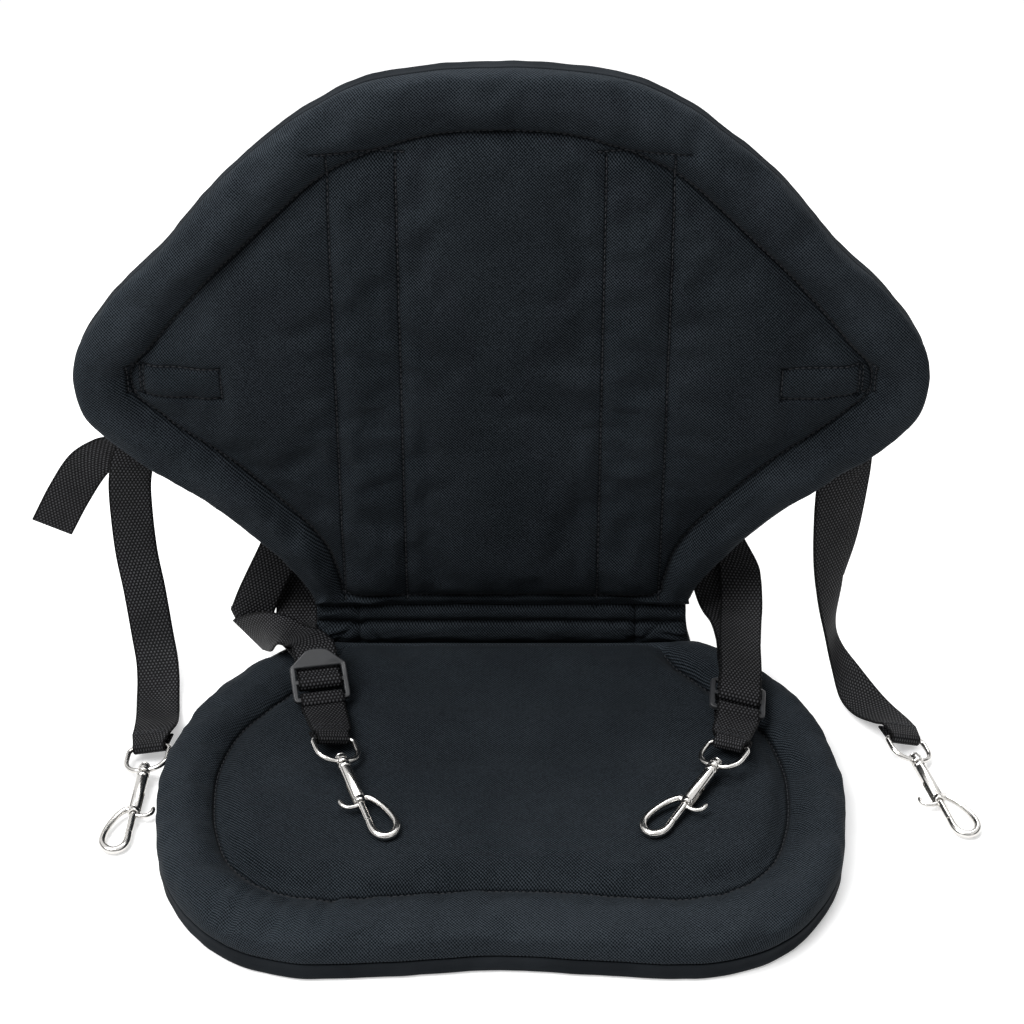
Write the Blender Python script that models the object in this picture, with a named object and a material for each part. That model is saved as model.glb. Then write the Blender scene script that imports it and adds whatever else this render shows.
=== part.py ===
"""Folding padded kayak seat with a backrest, four adjustable straps and four snap hooks.

Metres, +Z up. The front of the seat faces -Y and the seat lies on z = 0, with its middle at the origin.
"""

import math

import bmesh
import bpy
import numpy as np
from mathutils import Matrix, Vector
from mathutils.geometry import delaunay_2d_cdt

MM = 0.001
GAP = 0.3  # between pieces that touch, in mm like every size below

# Padded panels: heights above a panel's own underside
COVER = 1.2
LIP = 11.0
EDGE = 13.5
SEAM = 18.0
CROWN = 25.0
PANEL = 25.0
FULL_RIM = 30.0
SEAM_FADE = 9.0
EDGE_STEP = 17.0
FILL_STEP = 14.0

# Backrest
BACK_REAR = 12.0
BACK_FOOT = 41.4
STAY_AT = 73.0
STAY_FOOT = 56.0
STAY_SPARE = 3.0
CHANNEL_HALF = 18.0
CHANNEL_TOP = 331.0
CHANNEL_DEEP = 1.6
STAY_SIZE = (30.0, 3.0, CHANNEL_TOP - STAY_FOOT - STAY_SPARE)

# Seat, and how far in front of the backrest its middle lies, which is the origin
SEAT_REAR = -3.8
SEAT_MIDDLE = 135.0

# Hinge flap between the two
FLAP_HALF = 106.0

# Webbing
WEB = 25.0
WEB_THICK = 1.4
WEB_IN_EYE = 18.6
LOOP_R = 2.5

# Ladder buckle
BUCKLE_HALF = 16.0
BUCKLE_BAR = 3.0
BUCKLE_THICK = 3.0
BUCKLE_ENDS = (-15.5, 15.5)
SLOT_A = (-5.6, 1.6)
SLOT_B = (4.6, 12.5)
TAB_RISE = 0.3

# Snap hook, measured along its barrel from the barrel's mouth towards the loop
BARREL_R = 3.5
BARREL_LENGTH = 31.0
BOLT_R = 2.0
BORE_R = 2.3
BORE_END = 3.5 - BARREL_LENGTH
BOLT_BACK = BORE_END + 14.0
NOSE = 14.6
SLOT_END = BOLT_BACK - 2.0
SLOT_HALF = 1.6
STUD_R = 1.3
NECK_R = 1.8
NECK_HOLE_R = 2.0
BOSS = (-BARREL_LENGTH - 5.8, -BARREL_LENGTH - GAP)
BOSS_R = 3.6
HEAD_R = 2.9
EYE_WIRE = 1.5
EYE_HALF = 12.0
EYE_FRONT = -BARREL_LENGTH - 3.2
EYE_BAR = EYE_FRONT - 18.3
NEAR_BAR = EYE_BAR - 3.5  # webbing leaving the eye's bar, narrowed by it
PAST_BAR = EYE_BAR - 9.5  # and at its full width again
SPRING_R = 1.7
SPRING_WIRE = 0.25
SPRING_TURNS = 7

# Half outlines from the front or top middle round to the rear or foot middle:
# outer edge, then the sewn groove inside it
BACK_HALF = [
    (0, 376, 0, 343),
    (38, 374, 35, 341),
    (70, 368, 62, 333),
    (98, 354, 85, 323),
    (120, 338, 102, 311),
    (143, 318, 120, 294),
    (164, 295, 138, 276),
    (181, 274, 154, 260),
    (205, 250, 175, 236),
    (227, 222, 191, 216),
    (235, 204, 201, 205),
    (235.5, 188, 204, 195),
    (231, 170, 201, 184),
    (218, 153, 189, 173),
    (205, 142, 179, 164),
    (167, 113, 150, 141),
    (141, 89, 128, 119),
    (125, 71, 111, 100),
    (114.5, 57, 99, 81),
    (109, 45, 93, 59),
    (104, BACK_FOOT, 88, 50),
    (50, BACK_FOOT, 46, 50),
    (0, BACK_FOOT, 0, 50),
]
SEAT_HALF = [
    (0, -266.5, 0, -224),
    (30, -268.5, 27, -225),
    (57, -270.5, 52, -227.5),
    (84, -272.5, 74, -229.5),
    (109, -271, 96, -230),
    (136, -261, 121, -223),
    (160, -239, 141, -205),
    (178, -205, 151, -179),
    (185.5, -162, 155, -150),
    (186, -123, 154, -122),
    (175, -77, 145, -91),
    (151, -38, 122, -59),
    (122, -12, 103, -35),
    (108, -5, 96, -22),
    (96, SEAT_REAR, 88, -11),
    (48, SEAT_REAR, 46, -11),
    (0, SEAT_REAR, 0, -11),
]

# Hinge flap section, front going up and rear going down, as (y, z)
FLAP_SECTION = [
    (-3.4, 9.5),
    (-3.5, 15),
    (-6.3, 18.5),
    (-7.6, 23),
    (-6.4, 28),
    (-2.6, 31),
    (-5.6, 33.8),
    (-6.2, 37),
    (-4.6, 40),
    (-1.5, BACK_FOOT - GAP),
    (2.5, BACK_FOOT - GAP),
    (4.6, 38),
    (3.4, 31.5),
    (4.8, 25),
    (4.4, 16),
    (1.5, 9.5),
]

# Snap hooks: the barrel's mouth, heading, pitch, roll about the barrel and the eye's own roll.
# The inner ones lie on the seat's panel.
HOOKS = {
    "outer_left": ((-200.1, -148.1, 4.8), -3.1, 5.0, 180.0, -12.0),
    "outer_right": ((240.0, -137.1, 4.4), 14.5, 4.0, 0.0, 20.0),
    "inner_left": ((-74.6, -169.5, PANEL + 5.1), 20.0, 5.0, 0.0, 17.0),
    "inner_right": ((97.6, -170.6, PANEL + 5.1), -31.1, 5.0, 180.0, -9.0),
}

# Buckles: middle of the frame, heading, pitch and roll
BUCKLES = {
    "outer_left": ((-205, 18.8, 163), 0.0, -90.0, 3.0),
    "outer_right": ((199, 17.8, 163), 0.0, -90.0, 0.0),
    "inner_left": ((-102.9, -68.0, PANEL + 13.2), 11.0, 28.0, 0.0),
    "inner_right": ((132.5, -79.0, PANEL + 9.0), -6.0, 8.0, 194.0),
}

# Webbing between a hook and its buckle, or between the backrest and a buckle:
# middle of the webbing, then half of its width
RUNS = {
    "outer_left": [
        (-196.2, -76, 9.6, 12.4, 0, 1.5),
        (-197.5, -60, 4.6, 12.4, 0.8, 0),
        (-199.5, -42, 3.4, 12.4, 1.0, 0.5),
        (-200.5, -30, 7.5, 12.4, 0.6, 1.0),
        (-202, -20, 15, 12.4, 0, 1.5),
        (-205, -10, 26, 12.4, 0, 1.5),
        (-209, 1, 49, 12.4, 0, 1.7),
        (-213, 8, 75, 12.4, 0, 1.5),
        (-214, 12.6, 110, 12.4, 0, 0.6),
        (-211.5, 13.6, 130, 12.4, 0, -1.0),
    ],
    "outer_right": [
        (221, -70, 8.3, 10.9, 4.4, -2.4),
        (211.5, -53, 5.6, 9.9, 7.0, 0.5),
        (202, -35, 9.2, 6.6, 9.6, 4.0),
        (195.5, -19, 17, 3.6, 11.7, 1.5),
        (192.6, -9, 28, 3.8, 11.9, 0),
        (191.6, 0, 49, 8.0, 9.6, 0),
        (190.6, 6.4, 75, 10.4, 6.9, 0),
        (191.4, 11.4, 112, 11.6, 4.6, 0),
        (196.0, 13.5, 130, 12.5, 0, 0),
    ],
    "inner_left": [
        (-116, 13.0, 138, 12.5, 0, 0),
        (-116, 13.0, 112, 12.5, 0, 0),
        (-117, 16.4, 95, 12.5, 0, 0),
        (-119, 18.4, 75, 12.5, 0, 0),
        (-120.5, 18.6, 57, 12.5, 0, 0),
        (-121.2, 17.6, 42, 12.5, 0, 0),
        (-121.6, 13.5, 30, 12.4, 0.3, 0),
        (-121.4, 4.0, 24.5, 12.4, 0.8, 0),
        (-120.8, -6, 27.6, 12.3, 1.4, 0),
        (-118.6, -17, 31.6, 12.2, 2.0, 0),
        (-113.5, -34, 36.2, 12.2, 2.4, 0),
    ],
    "inner_right": [
        (116, 13.0, 138, 12.5, 0, 0),
        (116, 13.0, 112, 12.5, 0, 0),
        (120, 13.6, 96, 12.4, 0, -1.5),
        (130, 14.0, 78, 12.2, 0, -2.6),
        (138, 13.8, 61, 12.3, 0, -2.0),
        (140, 12.0, 51, 12.4, 0, -1.0),
        (140.5, 6.0, 43.5, 12.4, 0, 0),
        (140.1, -3.0, 39.2, 12.3, -1.0, 0),
        (138.8, -14, 38.6, 12.2, -1.6, -1.4),
        (136.4, -38, 40.0, 12.1, -1.4, -2.6),
    ],
}
TAILS = {
    "outer_left": [
        (-210, 17.0, 143, 12.4, 0, -2.0),
        (-222, 20, 136, 12.0, 0, -4.2),
        (-238, 24, 122, 11.2, 0, -5.6),
        (-252, 26.4, 100, 11.2, 0, -5.6),
        (-264.6, 28, 76, 11.2, 0, -5.4),
    ],
    "outer_right": [
        (199.8, 18.2, 140, 12.4, 0.4, 0),
        (200.8, 18.6, 115, 11.6, 4.4, 0),
        (198.3, 15.4, 76, 10.2, 7.2, 0),
        (193.9, 7.2, 50, 7.6, 9.8, 0),
    ],
    "inner_left_fold": [
        (-107.5, -47, 45, 11.8, 3.5, 0),
        (-112.5, -41, 45, 9, 8.5, -1),
        (-119, -34, 41.8, 5, 11, -1),
        (-126, -28, 41, 3, 11.5, 1.5),
        (-134.5, -19, 34, -1, 10, 7),
        (-143, -6, 24, -5.5, 6.5, 9),
    ],
    "inner_left_end": [
        (-150.0, 8.5, 23.5, -11.0, 3.0, 5.0),
        (-142.5, 10.5, 42, -11.8, 1.2, 3.6),
        (-131.5, 14.2, 65, -12.0, 0.2, 3.4),
        (-125, 14.2, 80, -12.2, 0, 2.6),
        (-119, 13.8, 93, -12.4, 0, 1.5),
    ],
    "inner_right": [
        (134.6, -53, 37.0, 12.1, -1.4, -2.6),
        (135.4, -34, 35.8, 12.2, -1.2, -2.2),
        (134, -12, 34.0, 12.3, -1.0, -0.8),
        (130, -1.0, 34.6, 12.3, 0, -1.0),
        (127, 6.5, 37.4, 12.3, 0, -1.5),
        (124.3, 12.6, 43.5, 12.3, 0, -2.5),
        (122, 16.0, 52, 12.3, 0, -2.5),
        (118.5, 17.0, 64, 12.4, 0, -2.0),
        (114, 17.0, 78, 12.4, 0, -1.0),
    ],
}
LEFT_CREASE = ((-150.5, 5.5, 14), (-9.2, 4.8, 7.5))
ANCHOR_START = 152.0
ANCHOR_HEIGHT = 197.0


def material(name, colour, roughness, metallic=0.0):
    mat = bpy.data.materials.new(name)
    mat.use_nodes = True
    node = mat.node_tree.nodes["Principled BSDF"]
    node.inputs["Base Color"].default_value = (*colour, 1)
    node.inputs["Roughness"].default_value = roughness
    node.inputs["Metallic"].default_value = metallic
    mat.diffuse_color = (*colour, 1)
    return mat


def new_object(name, points, faces, mat, smooth=True):
    mesh = bpy.data.meshes.new(name)
    mesh.from_pydata([tuple(c * MM for c in p) for p in points], [], faces)
    bm = bmesh.new()
    bm.from_mesh(mesh)
    bmesh.ops.recalc_face_normals(bm, faces=bm.faces)
    for face in bm.faces:
        face.smooth = smooth
    bm.to_mesh(mesh)
    bm.free()
    mesh.materials.append(mat)
    ob = bpy.data.objects.new(name, mesh)
    bpy.context.scene.collection.objects.link(ob)
    return ob


def curve_point(a, b, c, d, t):
    """A point between b and c on the round curve through a, b, c and d."""
    return 0.5 * (2 * b + (c - a) * t + (2 * a - 5 * b + 4 * c - d) * t**2 + (3 * b - a - 3 * c + d) * t**3)


def closed_curve(half, step):
    """The whole of a symmetric outline, from the points of its half."""
    ring = [np.array(p, float) for p in half]
    ring += [p * (-1, 1, -1, 1) for p in ring[-2:0:-1]]
    out = []
    for i, here in enumerate(ring):
        before, after, later = ring[i - 1], ring[(i + 1) % len(ring)], ring[(i + 2) % len(ring)]
        pieces = max(1, round(np.linalg.norm((after - here)[:2]) / step))
        out += [curve_point(before, here, after, later, k / pieces) for k in range(pieces)]
    return np.array(out)


def open_curve(stations, pieces):
    """A round curve through stations of any width, with straight ends."""
    s = [np.array(p, float) for p in stations]
    s = [2 * s[0] - s[1]] + s + [2 * s[-1] - s[-2]]
    out = [curve_point(*s[i : i + 4], k / pieces) for i in range(len(s) - 3) for k in range(pieces)]
    return np.array(out + [s[-2]])


def inwards(ring):
    along = np.roll(ring, -1, 0) - np.roll(ring, 1, 0)
    along /= np.linalg.norm(along, axis=1)[:, None]
    normal = np.stack([-along[:, 1], along[:, 0]], 1)
    return normal if normal[0] @ (ring.mean(0) - ring[0]) > 0 else -normal


def distance_to(points, ring):
    """The distance from each point to a closed line."""
    a, b = ring, np.roll(ring, -1, 0)
    ab = b - a
    t = ((points[:, None] - a) * ab).sum(2) / (ab**2).sum(1)
    near = a + t.clip(0, 1)[:, :, None] * ab
    return np.linalg.norm(points[:, None] - near, axis=2).min(1)


def is_inside(points, ring):
    a, b = ring, np.roll(ring, -1, 0)
    x, y = points[:, 0:1], points[:, 1:2]
    spans = (a[:, 1] > y) != (b[:, 1] > y)
    rise = np.where(b[:, 1] == a[:, 1], 1.0, b[:, 1] - a[:, 1])
    crossing = a[:, 0] + (y - a[:, 1]) / rise * (b[:, 0] - a[:, 0])
    return ((spans & (x < crossing)).sum(1) % 2) == 1


class Solid:
    """Points and faces of one closed body, built ring by ring."""

    def __init__(self, place):
        self.place = place
        self.points = []
        self.faces = []

    def add(self, flat, height):
        start = len(self.points)
        for (u, v), w in zip(flat, np.broadcast_to(height, len(flat))):
            self.points.append(self.place(u, v, w))
        return list(range(start, len(self.points)))

    def join(self, low, high):
        for i in range(len(low)):
            j = (i + 1) % len(low)
            self.faces.append((low[i], low[j], high[j], high[i]))

    def rings(self, made):
        """Rings of (flat points, heights) joined one to the next."""
        indices = [self.add(flat, height) for flat, height in made]
        for low, high in zip(indices, indices[1:]):
            self.join(low, high)
        return indices

    def fill(self, loops, extra=(), height=None):
        """Closes loops of known points with triangles: the first is the edge, the others are holes."""
        flat = [p for ring, _ in loops for p in ring]
        known = [i for _, indices in loops for i in indices]
        edges = []
        start = 0
        for ring, _ in loops:
            n = len(ring)
            edges += [(start + i, start + (i + 1) % n) for i in range(n)]
            start += n
        if len(extra):
            flat += list(extra)
            known += self.add(extra, height)
        made = delaunay_2d_cdt([Vector(p) for p in flat], edges, [], 0, 1e-6)
        of = [known[o[0]] for o in made[3]]
        middles = np.array([np.mean([made[0][i] for i in f], 0) for f in made[2]])
        keep = is_inside(middles, np.array(loops[0][0]))
        for ring, _ in loops[1:]:
            keep &= ~is_inside(middles, np.array(ring))
        self.faces += [tuple(of[i] for i in f) for f, k in zip(made[2], keep) if k]


def lying(u, v, w):
    return (u, v, w)


def standing(u, v, w):
    return (u, BACK_REAR - w, v)


def grid_inside(ring, step, margin):
    low, high = ring.min(0), ring.max(0)
    columns = np.arange(step / 2, high[0], step)
    x = np.concatenate([-columns[::-1], columns])
    y = np.arange(low[1] + margin, high[1], step * 0.87)
    points = np.array([(px + (k % 2 - 0.5) * step / 2, py) for k, py in enumerate(y) for px in x])
    points = points[is_inside(points, ring)]
    return points[distance_to(points, ring) > margin]


def channel_rows():
    """Points on and beside the sewn lines of the two stay pockets."""
    rows = []
    for side in (-1, 1):
        for line in (-CHANNEL_HALF, CHANNEL_HALF):
            for off in (-4, 0, 4):
                x = side * STAY_AT + line + off
                rows += [(x, z) for z in np.arange(62, CHANNEL_TOP - 2, 15)]
    return np.array(rows)


def channel_groove(points):
    """How much the sewn pocket lines pull the front down."""
    x = np.abs(np.abs(points[:, 0]) - STAY_AT)
    return CHANNEL_DEEP * np.exp(-(((x - CHANNEL_HALF) / 2.5) ** 2)) * (points[:, 1] < CHANNEL_TOP)


def padded_panel(name, half, place, mat, channels=False, stays=False):
    """A cushion with a puffed rim, a sewn groove and a flatter middle."""
    both = closed_curve(half, EDGE_STEP)
    outer, seam = both[:, :2], both[:, 2:]
    inner = inwards(outer)
    width = np.linalg.norm(seam - outer, axis=1)
    share = (width / FULL_RIM).clip(0.3, 1) ** 0.8
    crown = EDGE + (CROWN - EDGE) * share
    low = np.minimum(SEAM, crown - 1.0)
    wall = COVER + 2 * GAP

    def at(depth):
        return outer + inner * depth

    def between(t):
        return at(3.5) * (1 - t) + seam * t

    def up(part):
        return EDGE + (crown - EDGE) * part

    solid = Solid(place)
    rings = [
        (at(wall + 3.0), COVER + GAP),
        (at(wall + 0.6), COVER + GAP + 2.0),
        (at(wall), LIP - 0.6),
        (at(0.5), LIP + 0.2),
        (at(0.0), EDGE),
        (at(0.8), up(0.38)),
        (between(0.0), up(0.72)),
        (between(0.25), up(0.95)),
        (between(0.52), crown),
        (between(0.8), crown * 0.72 + low * 0.28),
        (seam, low),
    ]
    made = solid.rings(rings)
    extra = grid_inside(seam, FILL_STEP, 5.0)
    if channels:
        x = np.abs(np.abs(extra[:, 0]) - STAY_AT)
        extra = extra[(np.abs(x - CHANNEL_HALF) > 9) | (extra[:, 1] > CHANNEL_TOP)]
        extra = np.concatenate([extra, channel_rows()])
        extra = extra[is_inside(extra, seam) & (distance_to(extra, seam) > 4)]
    away = distance_to(extra, seam)
    top = PANEL - (PANEL - SEAM) * np.exp(-away / SEAM_FADE)
    if channels:
        top -= channel_groove(extra)
    solid.fill([(list(seam), made[-1])], extra, top)
    holes = []
    if stays:
        for side in (-1, 1):
            half_x = STAY_SIZE[0] / 2 + GAP
            x0, x1 = side * STAY_AT - half_x, side * STAY_AT + half_x
            z0, z1 = STAY_FOOT - GAP, STAY_FOOT + STAY_SIZE[2] + GAP
            box = [(x0, z0), (x1, z0), (x1, z1), (x0, z1)]
            mouth = solid.add(box, COVER + GAP)
            floor = solid.add(box, COVER + 3 * GAP + STAY_SIZE[1])
            solid.join(mouth, floor)
            solid.faces.append(tuple(floor))
            holes.append((box, mouth))
    solid.fill([(list(rings[0][0]), made[0])] + holes)
    return new_object(name, solid.points, solid.faces, mat)


def panel_cover(name, half, place, mat):
    """The thin cover under or behind a cushion, turned up round its edge."""
    outer = closed_curve(half, EDGE_STEP)[:, :2]
    inner = inwards(outer)
    solid = Solid(place)
    rings = [
        (outer + inner * 3.0, 0.0),
        (outer + inner * 0.9, 0.9),
        (outer + inner * 0.3, 3.0),
        (outer + inner * 0.3, LIP - GAP - 0.6),
        (outer + inner * (0.3 + COVER), LIP - GAP - 0.6),
        (outer + inner * (0.3 + COVER), 3.4),
        (outer + inner * (3.0 + COVER * 0.6), COVER),
    ]
    made = solid.rings(rings)
    solid.fill([(list(rings[0][0]), made[0])])
    solid.fill([(list(rings[-1][0]), made[-1])])
    return new_object(name, solid.points, solid.faces, mat)


def stay(name, side, mat):
    x, thick, tall = STAY_SIZE
    y1 = BACK_REAR - COVER - 2 * GAP
    y0 = y1 - thick
    x0, x1 = side * STAY_AT - x / 2, side * STAY_AT + x / 2
    z0, z1 = STAY_FOOT, STAY_FOOT + tall
    corner = 4.0
    face = [
        (x0 + corner, z0), (x1 - corner, z0), (x1, z0 + corner), (x1, z1 - corner),
        (x1 - corner, z1), (x0 + corner, z1), (x0, z1 - corner), (x0, z0 + corner),
    ]
    n = len(face)
    points = [(a, y0, b) for a, b in face] + [(a, y1, b) for a, b in face]
    faces = [tuple(range(n)), tuple(range(n, 2 * n))]
    faces += [(i, (i + 1) % n, n + (i + 1) % n, n + i) for i in range(n)]
    return new_object(name, points, faces, mat, smooth=False)


def hinge_flap(mat):
    """The soft strip between the seat and the backrest, with its two rolls."""
    section = FLAP_SECTION
    across = [-FLAP_HALF, -FLAP_HALF + 4, -66, -22, 22, 66, FLAP_HALF - 4, FLAP_HALF]
    n = len(section)
    middle = np.mean(section, 0)
    points = []
    for x in across:
        shrink = (0.55, 0.9) if abs(x) == FLAP_HALF else (1.0, 1.0)
        points += [(x, *(middle + (np.array(p) - middle) * shrink)) for p in section]
    faces = [tuple(range(n)), tuple(range(len(points) - n, len(points)))]
    for k in range(len(across) - 1):
        faces += [(k * n + i, k * n + (i + 1) % n, (k + 1) * n + (i + 1) % n, (k + 1) * n + i) for i in range(n)]
    return new_object("hinge_flap", points, faces, mat)


def unit(v):
    return v / np.linalg.norm(v)


def ribbon(name, stations, mat):
    """Webbing through stations of (centre, half width vector)."""
    s = np.array(stations, float)
    centre, half = s[:, :3], s[:, 3:]
    along = np.gradient(centre, axis=0)
    points, faces = [], []
    for c, h, a in zip(centre, half, along):
        up = unit(np.cross(a, h)) * WEB_THICK / 2
        points += [c - h - up, c + h - up, c + h + up, c - h + up]
    for k in range(len(s) - 1):
        faces += [(4 * k + i, 4 * k + (i + 1) % 4, 4 * k + 4 + (i + 1) % 4, 4 * k + 4 + i) for i in range(4)]
    faces += [(0, 1, 2, 3), tuple(len(points) - 4 + i for i in range(4))]
    return new_object(name, points, faces, mat)


def frame(origin, heading, pitch, roll=0.0):
    """A hook's or buckle's own axes: X across, Y back towards the strap, Z up out of its face."""
    turn = Matrix.Rotation(math.radians(heading), 4, "Z")
    tip = Matrix.Rotation(math.radians(pitch), 4, "X")
    lean = Matrix.Rotation(math.radians(roll), 4, "Y")
    return Matrix.Translation(Vector(origin)) @ turn @ tip @ lean


def in_frame(axes, x, d, n):
    """A point x across, d towards the hook's tip and n out of the face."""
    return np.array(axes @ Vector((x, -d, n)))


def across_frame(axes, half):
    return np.array(axes.to_3x3() @ Vector((half, 0, 0)))


def loop_round(axes, bar, start, end, half, steps=6, radius=LOOP_R):
    """Stations of webbing that turns round a bar at (d, n), from one angle to another."""
    d, n = bar
    out = []
    for k in range(steps + 1):
        a = math.radians(start + (end - start) * k / steps)
        p = in_frame(axes, 0, d + radius * math.cos(a), n + radius * math.sin(a))
        out.append((*p, *across_frame(axes, half)))
    return out


def in_buckle(axes, stations, half=12.3):
    """Stations of webbing in a buckle, from (d, n) pairs."""
    return [(*in_frame(axes, 0, d, n), *across_frame(axes, half)) for d, n in stations]


def through_buckle(axes, up=1):
    """Webbing in from under the tab, up over the middle bar and back out under the tab."""
    under = -BUCKLE_THICK / 2 - GAP - WEB_THICK / 2
    over = -under
    load = under - WEB_THICK - GAP
    path = [
        (-15.0, load - 0.2),
        (-6.0, load),
        (2.0, load + 0.1),
        (5.6, load + 1.0),
        (6.9, -0.6),
        (6.2, 1.4),
        (4.4, over + 0.1),
        (1.8, over + 0.1),
        (0.0, 1.4),
        (-0.8, -0.4),
        (-2.2, under + 0.3),
        (-5.0, under),
        (-8.0, under + 0.1),
        (-15.0, under + 0.6),
    ]
    return in_buckle(axes, [(d, n * up) for d, n in path])


def round_end_bar(axes, start, end, half=12.3):
    """Webbing round a buckle's end bar, from one angle to another."""
    bar = ((SLOT_B[1] + BUCKLE_ENDS[1]) / 2, 0)
    return loop_round(axes, bar, start, end, half, radius=3.4)


def round_eye(axes, start, end):
    """Webbing round the far bar of a swivel eye."""
    return loop_round(axes, (EYE_BAR, 0), start, end, WEB_IN_EYE / 2)


def beside_eye(axes, stations, half):
    return [(*in_frame(axes, 0, d, n), *across_frame(axes, half)) for d, n in stations]


def fold(centre, crease, travel, face, radius=1.0, steps=4):
    """A flat fold: the webbing turns over about its crease and comes back on the side of face."""
    travel, face = unit(np.array(travel, float)), unit(np.array(face, float))
    out = []
    for k in range(steps + 1):
        a = math.pi * k / steps
        p = np.array(centre, float) + radius * (travel * math.sin(a) + face * (1 - math.cos(a)))
        out.append((*p, *crease))
    return out


def smooth_run(stations, pieces=6):
    return [tuple(p) for p in open_curve(stations, pieces)]


def buckle(name, axes, mat):
    """A ladder buckle: a frame with two slots and a thumb tab at one end."""
    half = [(0, BUCKLE_ENDS[0]), (5, -15.1), (9, -12.2), (14.4, -7.8), (BUCKLE_HALF, -5)]
    half += [(BUCKLE_HALF, BUCKLE_ENDS[1] - 2), (BUCKLE_HALF - 2, BUCKLE_ENDS[1])]
    edge = half + [(-x, d) for x, d in half[:0:-1]]
    inner = BUCKLE_HALF - BUCKLE_BAR

    def place(u, v, w):
        return in_frame(axes, u, v, w + TAB_RISE * max(0.0, SLOT_A[0] - v))

    solid = Solid(place)
    loops = [edge]
    for low, high in (SLOT_A, SLOT_B):
        loops.append([(-inner, low), (inner, low), (inner, high), (-inner, high)])
    faces = []
    for height in (-BUCKLE_THICK / 2, BUCKLE_THICK / 2):
        faces.append([(loop, solid.add(loop, height)) for loop in loops])
        solid.fill(faces[-1])
    for (_, low), (_, high) in zip(*faces):
        solid.join(low, high)
    return new_object(name, solid.points, solid.faces, mat, smooth=False)


def turned(profile, sides):
    """Points and faces of a body turned about the hook's own axis, from (d, radius) pairs."""
    points, faces = [], []
    for d, r in profile:
        for k in range(sides):
            a = 2 * math.pi * k / sides
            points.append((r * math.cos(a), -d, r * math.sin(a)))
    for i in range(len(profile) - 1):
        for k in range(sides):
            j = (k + 1) % sides
            faces.append((i * sides + k, i * sides + j, (i + 1) * sides + j, (i + 1) * sides + k))
    faces.append(tuple(range(sides)))
    faces.append(tuple(range(len(points) - sides, len(points))))
    return points, faces


def swept(path, radii, sides, closed=False):
    """Points and faces of a round rod along a flat path of (s, d)."""
    path = np.array(path, float)
    points, faces = [], []
    n = len(path)
    for i, ((s, d), r) in enumerate(zip(path, np.broadcast_to(radii, n))):
        before, after = (path[i - 1], path[(i + 1) % n]) if closed else (path[max(i - 1, 0)], path[min(i + 1, n - 1)])
        along = unit(after - before)
        side = np.array([-along[1], along[0]])
        for k in range(sides):
            a = 2 * math.pi * (k + 0.5) / sides
            p = np.array([s, d]) + side * r * math.cos(a)
            points.append((p[0], -p[1], r * math.sin(a)))
    for i in range(n if closed else n - 1):
        for k in range(sides):
            j = (k + 1) % sides
            m = (i + 1) % n
            faces.append((i * sides + k, i * sides + j, m * sides + j, m * sides + k))
    if not closed:
        faces += [tuple(range(sides)), tuple(range((n - 1) * sides, n * sides))]
    return points, faces


def combine(name, base, steps, mat):
    """A mesh from a base and others added or cut away with exact Booleans."""
    ob = new_object(name, *base, mat)
    guides = []
    for kind, shape in steps:
        guide = new_object("guide", *shape, mat)
        guides.append(guide)
        mod = ob.modifiers.new(kind.lower(), "BOOLEAN")
        mod.operation = kind
        mod.solver = "EXACT"
        mod.object = guide
    bpy.context.view_layer.update()
    graph = bpy.context.evaluated_depsgraph_get()
    mesh = bpy.data.meshes.new_from_object(ob.evaluated_get(graph))
    mesh.name = name
    for used in guides + [ob]:
        bpy.data.objects.remove(used, do_unlink=True)
    for face in mesh.polygons:
        face.use_smooth = True
    return mesh


def box(low, high):
    """A box from (s, d, n) corners."""
    flat = [(low[0], low[1]), (high[0], low[1]), (high[0], high[1]), (low[0], high[1])]
    corners = [(s, -d, n) for n in (low[2], high[2]) for s, d in flat]
    faces = [(0, 1, 2, 3), (4, 5, 6, 7), (0, 1, 5, 4), (1, 2, 6, 5), (2, 3, 7, 6), (3, 0, 4, 7)]
    return corners, faces


def hook_body_mesh(mat):
    """The barrel with its hook arm, its bored and slotted mouth and its riveted neck."""
    neck_top = BOSS[0] - GAP
    profile = [
        (BORE_END, 0.9),
        (BORE_END, BORE_R),
        (0, BORE_R),
        (0, BARREL_R - 0.4),
        (-0.6, BARREL_R),
        (-BARREL_LENGTH + 0.6, BARREL_R),
        (-BARREL_LENGTH, BARREL_R - 0.6),
        (-BARREL_LENGTH, NECK_R),
        (neck_top, NECK_R),
        (neck_top, HEAD_R),
        (neck_top - 0.9, HEAD_R - 0.3),
        (neck_top - 1.6, HEAD_R - 1.5),
    ]
    stations = [
        (2.85, -3.0, 1.9), (5.2, -2.4, 1.9), (8.4, 1.6, 1.8), (11.4, 8.5, 1.8), (13.3, 16.5, 1.9),
        (12.9, 22.6, 2.1), (9.6, 26.8, 2.2), (5.0, 27.6, 2.2), (1.4, 24.8, 2.2), (0.0, 20.4, 2.1), (0.0, NOSE, 2.0),
    ]
    arm = open_curve(stations, 2)
    return combine(
        "hook_body",
        turned(profile, 14),
        [
            ("UNION", swept(arm[:, :2], arm[:, 2], 8)),
            ("DIFFERENCE", box((-6, SLOT_END, -SLOT_HALF), (-0.4, 2, SLOT_HALF))),
        ],
        mat,
    )


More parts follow.
